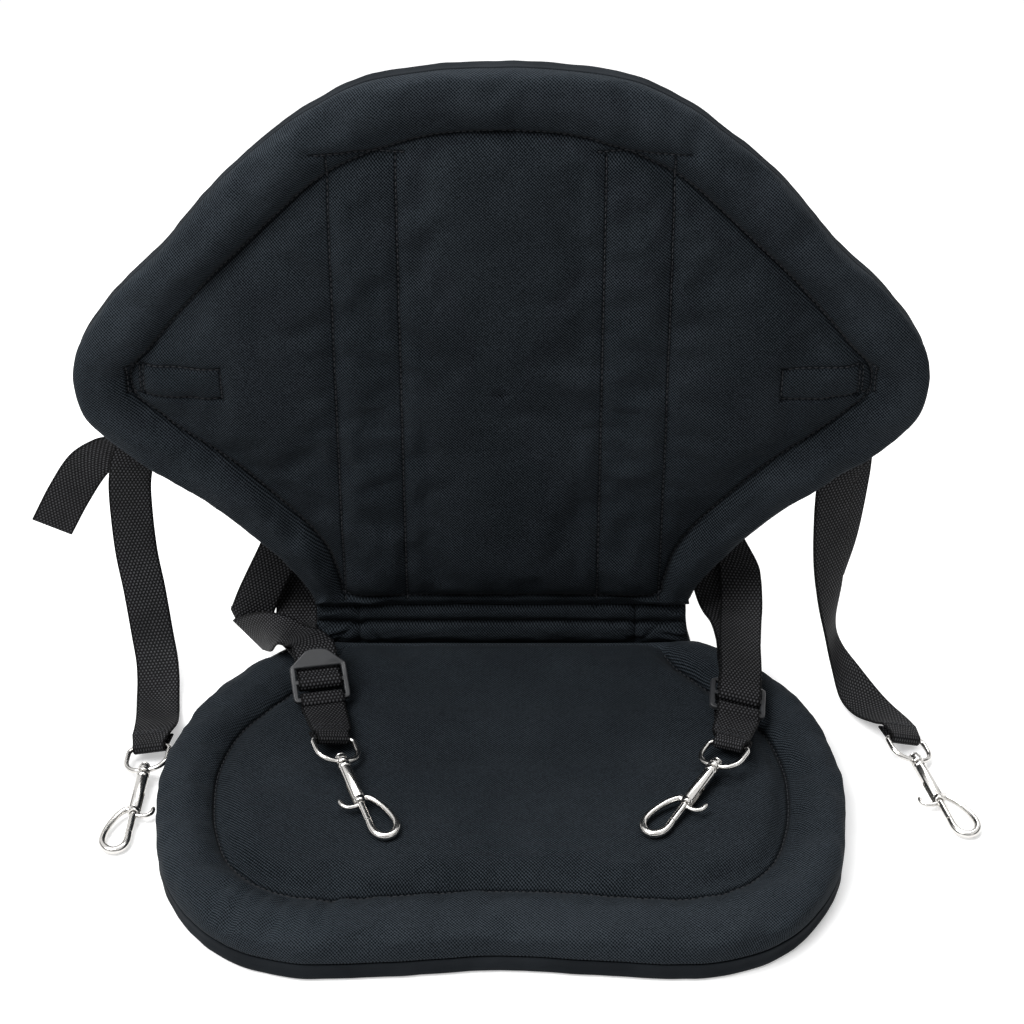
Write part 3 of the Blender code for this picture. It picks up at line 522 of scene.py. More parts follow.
class Graph(NodeTree):
    """One material under construction."""

    def __init__(self, name: str, **constants: Any) -> None:
        """Starts a material and sets the shader's constant sockets.

        Args:
            name: The material's name.
            constants: Values of the shader's sockets, with _ for each space.
        """
        self.material = bpy.data.materials.new(name)
        self.material.use_nodes = True
        super().__init__(self.material.node_tree)
        self.shader = self.tree.nodes["Principled BSDF"]
        for label, value in constants.items():
            self.shader.inputs[label.replace("_", " ")].default_value = value

    def cloth(self) -> tuple[Term, Term]:
        """Where a point lies on the flat cloth, in millimetres, as two terms."""
        place = self.node("ShaderNodeUVMap", {"uv_map": "cloth"}, {})
        x = self.node("ShaderNodeSeparateXYZ", {}, {0: place}, 0)
        y = self.node("ShaderNodeSeparateXYZ", {}, {0: place}, 1)
        return x * 1000.0, y * 1000.0

    def place(self) -> Term:
        """The point's place on the object."""
        return self.node("ShaderNodeTexCoord", {}, {}, "Object")

    def noise(self, scale: float, detail: float = 3.0, roughness: float = 0.55, at: Term | None = None) -> Term:
        """Noise from 0 to 1, with scale waves in a metre of the object or in a unit of at."""
        inputs = {"Vector": at or self.place(), "Scale": scale, "Detail": detail, "Roughness": roughness}
        return self.node("ShaderNodeTexNoise", {}, inputs, 0)

    def blend(self, factor: Term, first: Colour | Term, second: Colour | Term) -> Term:
        """A colour between two, by a factor."""
        colours = {6: first, 7: second}
        ready = {k: v if isinstance(v, Term) else (*v, 1) for k, v in colours.items()}
        settings = {"data_type": "RGBA", "clamp_factor": True}
        return self.node("ShaderNodeMix", settings, {0: factor, **ready}, 2)

    def feed(self, label: str, value: Term) -> None:
        """Links a value to one of the shader's sockets."""
        self.tree.links.new(value.socket, self.shader.inputs[label])

    def bump(self, height: Term, strength: float = 1.0) -> None:
        """Gives the surface a relief of heights in millimetres."""
        inputs = {"Height": height, "Distance": MM, "Strength": strength}
        self.feed("Normal", self.node("ShaderNodeBump", {}, inputs))


@dataclass(frozen=True)
class TwillCover:
    """The near-black twill of the cushions, with its sewn grooves, painted shade in them and a painted highlight on
    the rim.
    """

    name: str
    colour: Colour = (0.0016, 0.0026, 0.0036)
    # The lighter colour that the weave, the random patches and the rim's painted highlight mix towards.
    crest: Colour = (0.0400, 0.0490, 0.0590)
    wale: float = 1.25
    channels: bool = False

    def make(self) -> bpy.types.Material:
        """The material."""
        g = Graph(self.name, Roughness=0.7, Sheen_Weight=0.012, Sheen_Roughness=0.4, Specular_IOR_Level=0.05)
        x, y = g.cloth()
        turn = 2 * math.pi / self.wale / math.sqrt(2)
        wale = ((x + y) * turn).math("SINE")
        thread = ((x - y) * turn).math("SINE")
        weave = wale * 0.3 + thread * 0.2 + 0.5
        fibres = g.noise(1300.0, 1.0, 0.7)
        patches = g.noise(22.0, 4.0)
        creases = g.noise(55.0, 5.0, 0.6)
        seam = g.node("ShaderNodeAttribute", {"attribute_name": "seam"}, {}, 2)
        groove = seam.bell(1.0)
        height = wale * 0.05 + thread * 0.035 + creases * 0.7 + fibres * 0.10
        if self.channels:
            groove = groove.math("MAXIMUM", self.sewn_lines(x.math("ABSOLUTE"), y))
        g.bump(height - groove * 0.8)
        # Painted highlight: the rim, from 6 mm outside the groove and fully past 20 mm, is mixed lighter towards the
        # crest colour, standing in for the light that its raised top catches.
        spread = {"Value": seam * -1.0, "From Min": 6.0, "From Max": 20.0}
        rim = g.node("ShaderNodeMapRange", {"interpolation_type": "SMOOTHSTEP"}, spread)
        tone = weave * 1.3 + fibres * 1.1 + patches * 0.4 + rim * 0.16 - 1.12
        body = g.blend(tone, self.colour, self.crest)
        # Painted shade: the grooves and the sewn lines are darkened towards a third of the base colour.
        g.feed("Base Color", g.blend(groove * 0.7, body, tuple(c * 0.35 for c in self.colour)))
        g.feed("Roughness", 0.92 - patches * 0.16 - weave * 0.05)
        return g.material

    def sewn_lines(self, x: Term, y: Term) -> Term:
        """1 on the backrest's sewn lines: both pockets, their tops and the boxes at the tips.

        Args:
            x: The distance from the middle, in millimetres.
            y: The height, in millimetres.
        """
        pocket = (x - STAY_AT).math("ABSOLUTE") - CHANNEL_HALF
        inside = y.math("GREATER_THAN", CHANNEL_FOOT) * y.math("LESS_THAN", CHANNEL_TOP)
        lines = pocket.bell(SEWN_WIDTH) * inside
        middle, half = sum(POCKET_TOP) / 2, (POCKET_TOP[1] - POCKET_TOP[0]) / 2
        within = (x - middle).math("ABSOLUTE").math("LESS_THAN", half)
        lines = lines.math("MAXIMUM", (y - CHANNEL_TOP - POCKET_TOP_STITCH).bell(SEWN_WIDTH) * within)
        for u, v, w, h in SEWN_BOXES:
            side = (x - u).math("ABSOLUTE") - w
            end = (y - v).math("ABSOLUTE") - h
            lines = lines.math("MAXIMUM", side.math("MAXIMUM", end).bell(SEWN_WIDTH))
        return lines


@dataclass(frozen=True)
class PlainCloth:
    """The black coated cloth of the undersides."""

    name: str = "underside_cloth"
    colour: Colour = (0.0040, 0.0050, 0.0062)
    crest: Colour = (0.0260, 0.0310, 0.0370)
    thread: float = 0.9

    def make(self) -> bpy.types.Material:
        """The material."""
        g = Graph(self.name, Roughness=0.7, Specular_IOR_Level=0.06)
        x, y = g.cloth()
        turn = 2 * math.pi / self.thread
        weave = (x * turn).math("SINE") * (y * turn).math("SINE")
        patches = g.noise(26.0, 4.0)
        creases = g.noise(70.0, 5.0, 0.6)
        g.bump(weave * 0.04 + creases * 0.45)
        g.feed("Base Color", g.blend(weave * 0.3 + patches * 0.8, self.colour, self.crest))
        g.feed("Roughness", 0.88 - patches * 0.2)
        return g.material


@dataclass(frozen=True)
class Webbing:
    """Black woven webbing, with rows of raised threads across it and a firm edge; the threads' tops carry a painted
    highlight and the edge a band of painted shade.
    """

    name: str = "woven_webbing"
    colour: Colour = (0.0008, 0.0009, 0.0012)
    # The lighter colour of the raised threads' tops, a painted highlight.
    crest: Colour = (0.112, 0.113, 0.121)
    across: float = 2.1
    along: float = 3.6

    def make(self) -> bpy.types.Material:
        """The material."""
        g = Graph(self.name, Roughness=0.5, Specular_IOR_Level=0.09)
        x, y = g.cloth()
        row = (y / (self.along / 2)).math("FLOOR")
        shift = row.math("MODULO", 2.0) * math.pi
        threads = (x * (2 * math.pi / self.across) + shift).math("SINE") * 0.5 + 0.5
        picks = (y * (2 * math.pi / self.along)).math("SINE").math("ABSOLUTE")
        knots = threads * picks
        # A 1.3 mm band along each edge, which is darkened as painted shade.
        edge = x.math("ABSOLUTE").math("GREATER_THAN", WEB / 2 - 1.3)
        fuzz = g.noise(1500.0, 3.0)
        worn = g.noise(45.0, 4.0)
        g.bump(knots * 0.38 + fuzz * 0.05 + worn * 0.12)
        # Painted highlight on the raised threads, varied at random, less a band of painted shade along the edges.
        tone = knots.math("POWER", 1.6) * (0.25 + worn * 0.85) + fuzz * 0.1 - edge * 0.4 - 0.04
        g.feed("Base Color", g.blend(tone, self.colour, self.crest))
        g.feed("Roughness", 0.62 - knots * 0.16 + fuzz * 0.1)
        return g.material


@dataclass(frozen=True)
class MouldedPlastic:
    """Dark grey moulded plastic with a fine grain."""

    name: str = "moulded_plastic"
    colour: Colour = (0.016, 0.017, 0.019)
    worn: Colour = (0.038, 0.040, 0.044)

    def make(self) -> bpy.types.Material:
        """The material."""
        g = Graph(self.name, Roughness=0.4, IOR=1.5)
        grain = g.noise(3200.0, 2.0)
        patches = g.noise(120.0, 4.0)
        g.bump(grain * 0.012 + patches * 0.03)
        g.feed("Base Color", g.blend(patches * 0.6 + grain * 0.2, self.colour, self.worn))
        g.feed("Roughness", 0.34 + patches * 0.14 + grain * 0.05)
        return g.material


@dataclass(frozen=True)
class Metal:
    """Plated or plain metal, with fine handling marks."""

    name: str
    colour: Colour = (0.74, 0.725, 0.70)
    dull: Colour = (0.52, 0.505, 0.485)
    roughness: float = 0.13

    def make(self) -> bpy.types.Material:
        """The material."""
        g = Graph(self.name, Metallic=1.0, Roughness=self.roughness)
        ripple = g.noise(180.0, 3.0)
        marks = g.noise(900.0, 4.0, 0.7)
        g.bump(ripple * 0.012 + marks * 0.001)
        g.feed("Base Color", g.blend(ripple * 0.5 + marks * 0.35, self.colour, self.dull))
        g.feed("Roughness", self.roughness + ripple * 0.06 + marks * 0.06)
        return g.material


@dataclass(frozen=True)
class Thread:
    """Black sewing thread."""

    name: str = "sewing_thread"
    colour: Colour = (0.0060, 0.0065, 0.0080)
    crest: Colour = (0.0340, 0.0370, 0.0430)

    def make(self) -> bpy.types.Material:
        """The material."""
        g = Graph(self.name, Roughness=0.55, Specular_IOR_Level=0.25)
        twist = g.noise(2500.0, 2.0)
        g.bump(twist * 0.06)
        g.feed("Base Color", g.blend(twist, self.colour, self.crest))
        g.feed("Roughness", 0.5 + twist * 0.2)
        return g.material


# Cushions


@dataclass(frozen=True)
class ClothRun:
    """A short run of the cloth solver, which swells a cover over its foam between its sewn lines."""

    voxel: float = 5.0
    frames: int = 20
    pressure: float = 4.0
    spare: float = 0.045
    most: float = 2.6

    def moves(self, mesh: bpy.types.Mesh, held: np.ndarray) -> np.ndarray:
        """How far the solver moves each point of a cushion.

        Args:
            mesh: The cushion.
            held: 1 for each point that a seam or the foam holds, and 0 for a free one.

        Returns:
            Moves in millimetres, (n, 3).
        """
        scene = bpy.context.scene
        fine = points_of(mesh)
        ob = add_object("cover_run", mesh.copy())
        remesh = ob.modifiers.new("even", "REMESH")
        remesh.mode = "VOXEL"
        remesh.voxel_size = self.voxel * MM
        coarse = evaluated(ob, "cover_run")
        ob.modifiers.clear()
        ob.data = coarse
        start = points_of(coarse)
        near = tree_of(fine)
        group = ob.vertex_groups.new(name="held")
        for i, spot in enumerate(start):
            group.add([i], float(held[near.find(spot)[1]]), "REPLACE")
        cloth = ob.modifiers.new("cloth", "CLOTH")
        fabric = {
            "quality": 6, "mass": 0.2, "air_damping": 3.0, "tension_stiffness": 12.0,
            "compression_stiffness": 12.0, "shear_stiffness": 6.0, "bending_stiffness": 0.4,
            "use_pressure": True, "uniform_pressure_force": self.pressure, "shrink_min": -self.spare,
            "vertex_group_mass": "held",
        }
        for key, value in fabric.items():
            setattr(cloth.settings, key, value)
        cloth.settings.effector_weights.gravity = 0.0
        cloth.collision_settings.use_collision = False
        cloth.point_cache.frame_start = 1
        cloth.point_cache.frame_end = self.frames
        for frame in range(1, self.frames + 1):
            scene.frame_set(frame)
        ended = evaluated(ob, "cover_end")
        moved = (points_of(ended) - start) / MM
        scene.frame_set(1)
        bpy.data.objects.remove(ob, do_unlink=True)
        length = np.linalg.norm(moved, axis=1)[:, None]
        moved *= np.tanh(length / self.most) * self.most / np.maximum(length, 1e-6)
        LOG.info("cloth run of %s: %d points, moves up to %.1f mm", mesh.name, len(start), length.max())
        return self.spread(start, moved, fine)

    def spread(self, start: np.ndarray, moved: np.ndarray, fine: np.ndarray) -> np.ndarray:
        """The moves at every point of the fine mesh, from the nearest solved points."""
        near = tree_of(start)
        out = np.zeros((len(fine), 3))
        for i, spot in enumerate(fine):
            found = near.find_n(spot, 7)
            weights = np.exp([-((away / (0.75 * self.voxel * MM)) ** 2) for _, _, away in found]) + 1e-9
            out[i] = weights @ moved[[index for _, index, _ in found]] / weights.sum()
        return out


def tree_of(points: np.ndarray) -> KDTree:
    """A search tree of points."""
    tree = KDTree(len(points))
    for i, p in enumerate(points):
        tree.insert(p, i)
    tree.balance()
    return tree


@dataclass
class Crease:
    """A soft fold or sewn-down line in a cushion, from one plan point to another."""

    start: tuple[float, float]
    end: tuple[float, float]
    depth: float
    width: float

    def press(self, points: np.ndarray) -> np.ndarray:
        """How far the crease pulls each plan point down."""
        away = distance_to(points, np.array([self.start, self.end], float), closed=False)
        return self.depth * np.exp(-((away / self.width) ** 2))


@dataclass
class Cushion:
    """A padded panel with a puffed rim, a sewn groove and a flatter middle."""

    name: str
    node: str
    half: Sequence[Point]
    lie: Lie
    finish: bpy.types.Material
    seed: float
    middle: tuple[float, float]
    creases: list[Crease] = field(default_factory=list)
    channels: bool = False
    open_rear: float | None = None
    top: float = FAR
    sink: float = 0.0
    run: ClothRun = ClothRun()
    step: float = EDGE_STEP
    tree: BVHTree | None = None
    seam_line: np.ndarray | None = None

    def lines(self) -> tuple[np.ndarray, np.ndarray, np.ndarray]:
        """The outer edge, waved a little, the groove and the edge's inward normals."""
        both = closed_curve(mirrored(self.half), self.step)
        outer, seam = both[:, :2], both[:, 2:]
        inner = inwards(outer)
        wave = edge_wave(outer, self.seed)
        if self.open_rear is not None:
            wave = wave * ((self.open_rear - outer[:, 1]) / 8.0 + 0.6).clip(0.1, 1.0)
        return outer + inner * wave[:, None], seam, inner

    def sewn(self, seam: np.ndarray) -> np.ndarray:
        """How firmly the groove is sewn down at each point: not at all where the rear is open."""
        if self.open_rear is None:
            return np.ones(len(seam))
        return ((self.open_rear - seam[:, 1]) / 5.0).clip(0.0, 1.0)

    def rim(self, outer: np.ndarray, seam: np.ndarray, inner: np.ndarray) -> tuple[np.ndarray, np.ndarray]:
        """The rim from under the cushion, up over its crown and down to the groove.

        Args:
            outer: The outer edge.
            seam: The groove.
            inner: The edge's inward normals.

        Returns:
            Plan points, (rings, n, 2), and heights, (rings, n).
        """
        width = np.linalg.norm(seam - outer, axis=1)
        share = (width / FULL_RIM).clip(0.3, 1) ** 0.8
        crown = EDGE + (CROWN - EDGE) * share
        low = np.minimum(SEAM - 1.6, crown - 2.0)
        low = low + (crown - 1.0 - low) * (1 - self.sewn(seam)) * 0.6
        wall = COVER + 2 * GAP

        def between(t: float) -> np.ndarray:
            """The plan line at a share of the way from the edge to the groove."""
            return (outer + inner * 3.5) * (1 - t) + seam * t

        def up(part: float) -> np.ndarray:
            """The heights at a share of the way up from the edge to the crown."""
            return EDGE + (crown - EDGE) * part

        n = len(outer)
        under = 5.4 if self.channels else COVER + GAP
        flat = [outer + (np.array(self.middle) - outer) * INSET]
        flat += [outer + inner * d for d in (wall + 2.0, wall + 0.6, wall, 0.5, 0.0, 0.8)]
        flat += [between(t) for t in (0.0, 0.25, 0.52, 0.8, 0.95, 1.0)]
        heights = [np.full(n, h) for h in (under, COVER + GAP, COVER + GAP + 2.0, LIP - 0.6, LIP + 0.2, EDGE)]
        heights += [up(0.38), up(0.72), up(0.95), crown, crown * 0.66 + low * 0.34, crown * 0.2 + low * 0.8, low]
        curve = open_curve([np.concatenate([f, h[:, None]], 1) for f, h in zip(flat, heights)], 4)
        return curve[:, :, :2], curve[:, :, 2]

    def panel(self, seam: np.ndarray) -> tuple[np.ndarray, np.ndarray, np.ndarray]:
        """The middle of the cushion, in rings that shrink from the groove to its middle.

        Args:
            seam: The groove.

        Returns:
            Plan points, heights and distances from the groove, each (rings, n, ...).
        """
        centre = np.array(self.middle)
        reach = float(np.linalg.norm(seam - centre, axis=1).max())
        depths = [0.7, 1.5, 2.5, 3.8, 5.4, 7.4, 9.8, 12.6, 15.8]
        while depths[-1] < reach - 6:
            depths.append(depths[-1] + self.step)
        shares = [1 - d / reach for d in depths]
        flat = np.array([centre + (seam - centre) * s for s in shares])
        away = distance_to(flat.reshape(-1, 2), seam).reshape(flat.shape[:2])
        drop = (PANEL - SEAM + 1.6) * (0.8 + 0.2 * self.sewn(seam))
        height = PANEL - self.sink - drop * np.exp(-away / SEAM_FADE)
        return flat, height, away

    def detail(self, flat: np.ndarray, along: np.ndarray, seam: np.ndarray) -> np.ndarray:
        """The small lumps, puckers and creases that raise or lower the face.

        Args:
            flat: Plan points, (n, 2).
            along: Each point's place along the groove.
            seam: Each point's signed distance from the groove.

        Returns:
            n heights to add.
        """
        height = 0.9 * waves(flat, 46.0, self.seed) + 0.45 * waves(flat, 17.0, self.seed + 7)
        pucker = waves(np.stack([along, np.abs(seam) * 0.35], 1), 8.5, self.seed + 3)
        height += pucker * np.where(seam > 0, 0.9, 1.25) * np.exp(-np.abs(seam) / np.where(seam > 0, 9.0, 13.0))
        if self.open_rear is not None:
            height *= ((self.open_rear - flat[:, 1]) / 14.0 + 0.6).clip(0.15, 1.0)
        for crease in self.creases:
            height -= crease.press(flat)
        if self.channels:
            side = np.abs(np.abs(flat[:, 0]) - STAY_AT)
            ends = (flat[:, 1] < CHANNEL_TOP) & (seam > 0)
            tug = 1.5 + 0.35 * waves(flat, 9.0, self.seed + 11)
            height -= tug * np.exp(-(((side - CHANNEL_HALF) / 3.0) ** 2)) * ends
            height += 0.7 * np.exp(-((side / 11.0) ** 2)) * ends
        return height

    def build(self) -> bpy.types.Object:
        """The cushion as one closed mesh."""
        outer, seam, inner = self.lines()
        self.seam_line = seam
        n = len(outer)
        steps = np.linalg.norm(np.roll(seam, -1, 0) - seam, axis=1)
        arc = np.concatenate([[0], np.cumsum(steps)[:-1]])
        flat, height = self.rim(outer, seam, inner)
        mid_flat, mid_height, away = self.panel(seam)
        edge_away = np.linalg.norm(flat - seam, axis=2)
        edge_away[:FACE_RING] = FAR
        cloth = self.unrolled(flat, height, inner)
        cloth = np.concatenate([cloth, mid_flat]).reshape(-1, 2)
        flat = np.concatenate([flat, mid_flat]).reshape(-1, 2)
        height = np.concatenate([height, mid_height]).reshape(-1)
        loose = 25.0 * (1 - self.sewn(seam))
        signed = np.concatenate([-edge_away - loose, away + loose]).reshape(-1)
        rings = len(flat) // n
        along = np.tile(arc, rings)
        top = np.arange(len(flat)) >= FACE_RING * n
        added = np.zeros(len(flat))
        added[top] = self.detail(flat[top], along[top], signed[top])
        ease = ((height - EDGE) / 6.0).clip(0, 1)
        height = height + added * ease
        height = np.where(height > self.top - 0.5, self.top - 0.5 * np.exp(-(height - self.top + 0.5) / 0.5), height)
        points = self.lie.place(flat, height)
        centre = self.lie.place(np.array([self.middle, self.middle]), np.array([height[-n:].mean(), height[0]]))
        faces = grid_faces(rings, n)
        last = len(points)
        faces += [((rings - 1) * n + i, (rings - 1) * n + (i + 1) % n, last) for i in range(n)]
        faces += [(i, (i + 1) % n, last + 1) for i in range(n)]
        points = np.concatenate([points, centre])
        cloth = np.concatenate([cloth, [self.middle, self.middle]])
        mesh = make_mesh(self.name, points, faces, cloth, np.concatenate([signed, [CENTRE_AWAY, CENTRE_AWAY]]))
        moves = self.run.moves(mesh, np.concatenate([self.held(flat, signed, ease), [0.0, 1.0]]))
        free = ease * (np.abs(signed) / 6.0).clip(0.15, 1)
        if self.open_rear is not None:
            free = free * ((self.open_rear - flat[:, 1]) / 20.0 + 0.3).clip(0.0, 1.0)
        free = np.concatenate([free, [1.0, 0.0]])
        moves *= free[:, None]
        out = np.array(self.lie.outwards())
        lift = moves @ out
        room = np.concatenate([self.top - height, [0.0, 0.0]]).clip(0.0)
        moves += out * (np.minimum(lift, room) - lift)[:, None]
        mesh.vertices.foreach_set("co", ((points + moves) * MM).astype(np.float32).ravel())
        mesh.update()
        self.tree = BVHTree.FromPolygons([v.co for v in mesh.vertices], [tuple(p.vertices) for p in mesh.polygons])
        ob = make_piece(self.name, mesh, self.finish, nodes=(self.node,))
        return ob

    def unrolled(self, flat: np.ndarray, height: np.ndarray, inner: np.ndarray) -> np.ndarray:
        """Where the rim lies on the flat cloth, so that the weave isn't drawn out on its steep side."""
        plan = np.linalg.norm(np.diff(flat, axis=0), axis=2)
        extra = np.hypot(plan, np.diff(height, axis=0)) - plan
        extra[CROWN_RING:] = 0
        extra = np.concatenate([np.cumsum(extra[::-1], 0)[::-1], np.zeros((1, len(inner)))])
        return flat - inner * extra[:, :, None]

    def held(self, flat: np.ndarray, signed: np.ndarray, ease: np.ndarray) -> np.ndarray:
        """1 for each point that the solver keeps still: below the rim, at the groove and on sewn lines."""
        still = (ease < 0.15) | (np.abs(signed) < 3.2)
        if self.channels:
            side = np.abs(np.abs(flat[:, 0]) - STAY_AT)
            still |= (np.abs(side - CHANNEL_HALF) < 2.6) & (flat[:, 1] < CHANNEL_TOP) & (signed > 0)
        for crease in self.creases:
            still |= crease.press(flat) > 0.7 * crease.depth
        return still.astype(float)

    def on_face(self, path: np.ndarray) -> tuple[np.ndarray, np.ndarray]:
        """Lays a plan line on the padded face.

        Args:
            path: Plan points, (n, 2).

        Returns:
            Points on the face and its normals there.
        """
        out = self.lie.outwards()
        found = []
        for start in self.lie.place(path, FAR):
            hit, normal, _, _ = self.tree.ray_cast(Vector(start) * MM, -out)
            if hit is not None:
                found.append((np.array(hit) / MM, np.array(normal if normal.dot(out) > 0 else -normal)))
        return np.array([p for p, _ in found]), np.array([q for _, q in found])


def edge_wave(outer: np.ndarray, seed: float) -> np.ndarray:
    """How far a cushion's edge is pulled in at each point."""
    return 0.75 * waves(outer, 34.0, seed + 20) + 0.3 * waves(outer, 13.0, seed + 21) + 0.2


@dataclass
class CoverShell:
    """The thin cloth under or behind a cushion, turned up round its edge."""

    name: str
    node: str
    half: Sequence[Point]
    lie: Lie
    finish: bpy.types.Material
    seed: float
    middle: tuple[float, float]

    def build(self) -> bpy.types.Object:
        """The shell as one closed mesh."""
        outer = closed_curve(mirrored(self.half), EDGE_STEP)[:, :2]
        inner = inwards(outer)
        outer = outer + inner * edge_wave(outer, self.seed)[:, None]
        n = len(outer)
        wrinkle = 0.35 * waves(outer, 9.0, self.seed + 5)
        section = [(2.6, 0.0), (0.9, 0.9), (0.3, 3.0), (0.55, 6.2), (0.3, LIP - GAP - 1.4)]
        section += [(0.6, LIP - GAP - 0.7), (1.1, LIP - GAP - 0.6), (1.5, LIP - GAP - 1.4), (1.5, 3.4)]
        section += [(3.72, COVER)]
        wide = outer + (np.array(self.middle) - outer) * INSET
        rings = [np.concatenate([wide, np.zeros((n, 1))], 1)]
        for depth, height in section:
            pull = wrinkle * (0.6 < height < LIP - 3 and depth < 1)
            rings.append(np.concatenate([outer + inner * (depth + pull[:, None]), np.full((n, 1), height)], 1))
        rings.append(np.concatenate([wide, np.full((n, 1), COVER)], 1))
        curve = open_curve(rings, 3)
        flat, height = curve[:, :, :2].reshape(-1, 2), curve[:, :, 2].reshape(-1).clip(0.0)
        points = self.lie.place(flat, height)
        ends = self.lie.place(np.array([self.middle, self.middle]), np.array([0.0, COVER]))
        last = len(points)
        faces = grid_faces(len(curve), n)
        faces += [(i, (i + 1) % n, last) for i in range(n)]
        faces += [((len(curve) - 1) * n + i, (len(curve) - 1) * n + (i + 1) % n, last + 1) for i in range(n)]
        cloth = flat + np.stack([np.zeros(len(flat)), height], 1)
        cloth = np.concatenate([cloth, [self.middle, self.middle]])
        mesh = make_mesh(self.name, np.concatenate([points, ends]), faces, cloth)
        return make_piece(self.name, mesh, self.finish, nodes=(self.node,))


@dataclass
class HingeFlap:
    """The soft strip between the seat and the backrest, with its two rolls, tucks and pleats."""

    finish: bpy.types.Material
    half: float = FLAP_HALF
    flare: float = 5.0
    reach: float = 2.5
    tucks: tuple[float, ...] = (-84.0, 78.0)
    low: float = 9.3
    high: float = 41.1
    pleats_from: float = 88.0

    def build(self) -> bpy.types.Object:
        """The strip as one closed mesh."""
        section = closed_curve(FLAP_SECTION, 0.8)
        middle = section.mean(0)
        across = np.arange(-self.half, self.half + 0.1, 1.6)
        points, cloth, seam = [], [], []
        for x in across:
            end = min(1.0, (self.half - abs(x)) / 5.0)
            shrink = np.array([0.55 + 0.45 * end**0.5, 0.9 + 0.1 * end])
            ring = middle + (section - middle) * shrink
            away = section - middle
            length = np.linalg.norm(away, axis=1)[:, None]
            spots = np.concatenate([np.full((len(ring), 1), x * 0.7), ring * 2.2], 1)
            swell = 0.7 * waves(spots, 19.0, 4.0) + 0.45 * waves(spots, 6.0, 9.0)
            front = away[:, 0] < 0
            for tuck in self.tucks:
                swell = swell - 2.2 * math.exp(-(((x - tuck) / 2.4) ** 2)) * front
                fan = (ring[:, 1] - 24.0) * 0.9 * math.copysign(1.0, tuck)
                swell = swell - 1.3 * np.exp(-(((np.abs(x - tuck) - 8.0 - fan) / 2.0) ** 2)) * front
            outer = max(0.0, (abs(x) - self.pleats_from) / (self.half - self.pleats_from))
            pleat = np.sin((ring[:, 1] + outer * 5.0) * 1.15) * 1.5 * outer
            swell = swell + pleat * front
            ring = ring + away / length * (swell * end)[:, None]
            ring[:, 1] = ring[:, 1].clip(self.low, self.high)
            sag = 1.2 * (x / self.half) ** 2
            ring[:, 1] -= sag * (1 - np.abs(ring[:, 1] - 25.0) / 16.0).clip(0)
            spread = x * (1 + self.flare / self.half * ((26.0 - ring[:, 1]) / 16.0).clip(0, 1) * outer)
            spread = spread + math.copysign(self.reach, x) * outer
            points += [(u, y + SEAT_MIDDLE, z) for u, (y, z) in zip(spread, ring)]
            cloth += [(x, z) for _, z in ring]
            # The distance to the nearest tuck; the twill presses the tuck in from it and paints shade into it.
            seam += [min(abs(x - t) for t in self.tucks) + 0.5] * len(ring)
        faces = capped_faces(len(across), len(section))
        mesh = make_mesh("fabric_hinge", np.array(points), faces, np.array(cloth), np.array(seam))
        return make_piece("fabric_hinge", mesh, self.finish, nodes=("hinge_flap",))


@dataclass
class Stitching:
    """Rows of sewing stitches, gathered into one piece."""

    name: str
    thread: bpy.types.Material
    length: float = 2.7
    pitch: float = 3.5
    radius: float = 0.34
    sides: int = 6
    spots: tuple[float, ...] = (0.0, 0.22, 0.5, 0.78, 1.0)
    lifts: tuple[float, ...] = (-0.35, 0.1, 0.22, 0.1, -0.35)
    sizes: tuple[float, ...] = (0.55, 0.95, 1.0, 0.95, 0.55)
    points: list[np.ndarray] = field(default_factory=list)
    faces: list[tuple[int, ...]] = field(default_factory=list)

    def sew(self, path: np.ndarray, normals: np.ndarray, closed: bool = False) -> None:
        """Adds stitches along a line.

        Args:
            path: Points on the cloth, in millimetres.
            normals: The cloth's normals there.
            closed: Whether the line's end joins its start.
        """
        if len(path) < 2:
            return
        if closed:
            path, normals = np.concatenate([path, path[:1]]), np.concatenate([normals, normals[:1]])
        run = np.concatenate([[0], np.cumsum(np.linalg.norm(np.diff(path, axis=0), axis=1))])
        for k in range(int(run[-1] / self.pitch)):
            spots = np.array(self.spots) * self.length + (k + 0.1) * self.pitch
            line = np.stack([np.interp(spots, run, path[:, i]) for i in range(3)], 1)
            out = unit(np.array([np.interp(spots[2], run, normals[:, i]) for i in range(3)]))
            self.stitch(line, out)

    def stitch(self, line: np.ndarray, out: np.ndarray) -> None:
        """Adds one stitch, which dips into the cloth at both ends."""
        along = unit(line[-1] - line[0])
        side = unit(np.cross(along, out))
        start = len(self.points)
        for centre, lift, size in zip(line, self.lifts, self.sizes):
            for k in range(self.sides):
                a = math.pi / 3 * k
                reach = side * math.cos(a) + out * math.sin(a)
                self.points.append(centre + out * lift + reach * self.radius * size)
        self.faces += [tuple(start + i for i in f) for f in capped_faces(len(self.spots), self.sides)]

    def build(self) -> bpy.types.Object:
        """All the stitches as one piece."""
        mesh = make_mesh(self.name, np.array(self.points), self.faces)
        return make_piece(self.name, mesh, self.thread)


# Webbing


def loop_round(axes: Matrix, bar: float, start: float, end: float, half: float, radius: float) -> Stations:
    """Stations of webbing that turns round a bar at d = bar, from one angle to another."""
    out = []
    for k in range(13):
        a = math.radians(start + (end - start) * k / 12)
        p = in_axes(axes, 0, bar + radius * math.cos(a), radius * math.sin(a))
        out.append((*p, *(axes.to_3x3() @ Vector((half, 0, 0)))))
    return out


def beside(axes: Matrix, places: Sequence[tuple[float, float]], half: float) -> Stations:
    """Stations of webbing at (d, n) places of a hook's or buckle's axes."""
    across = axes.to_3x3() @ Vector((half, 0, 0))
    return [(*in_axes(axes, 0, d, n), *across) for d, n in places]


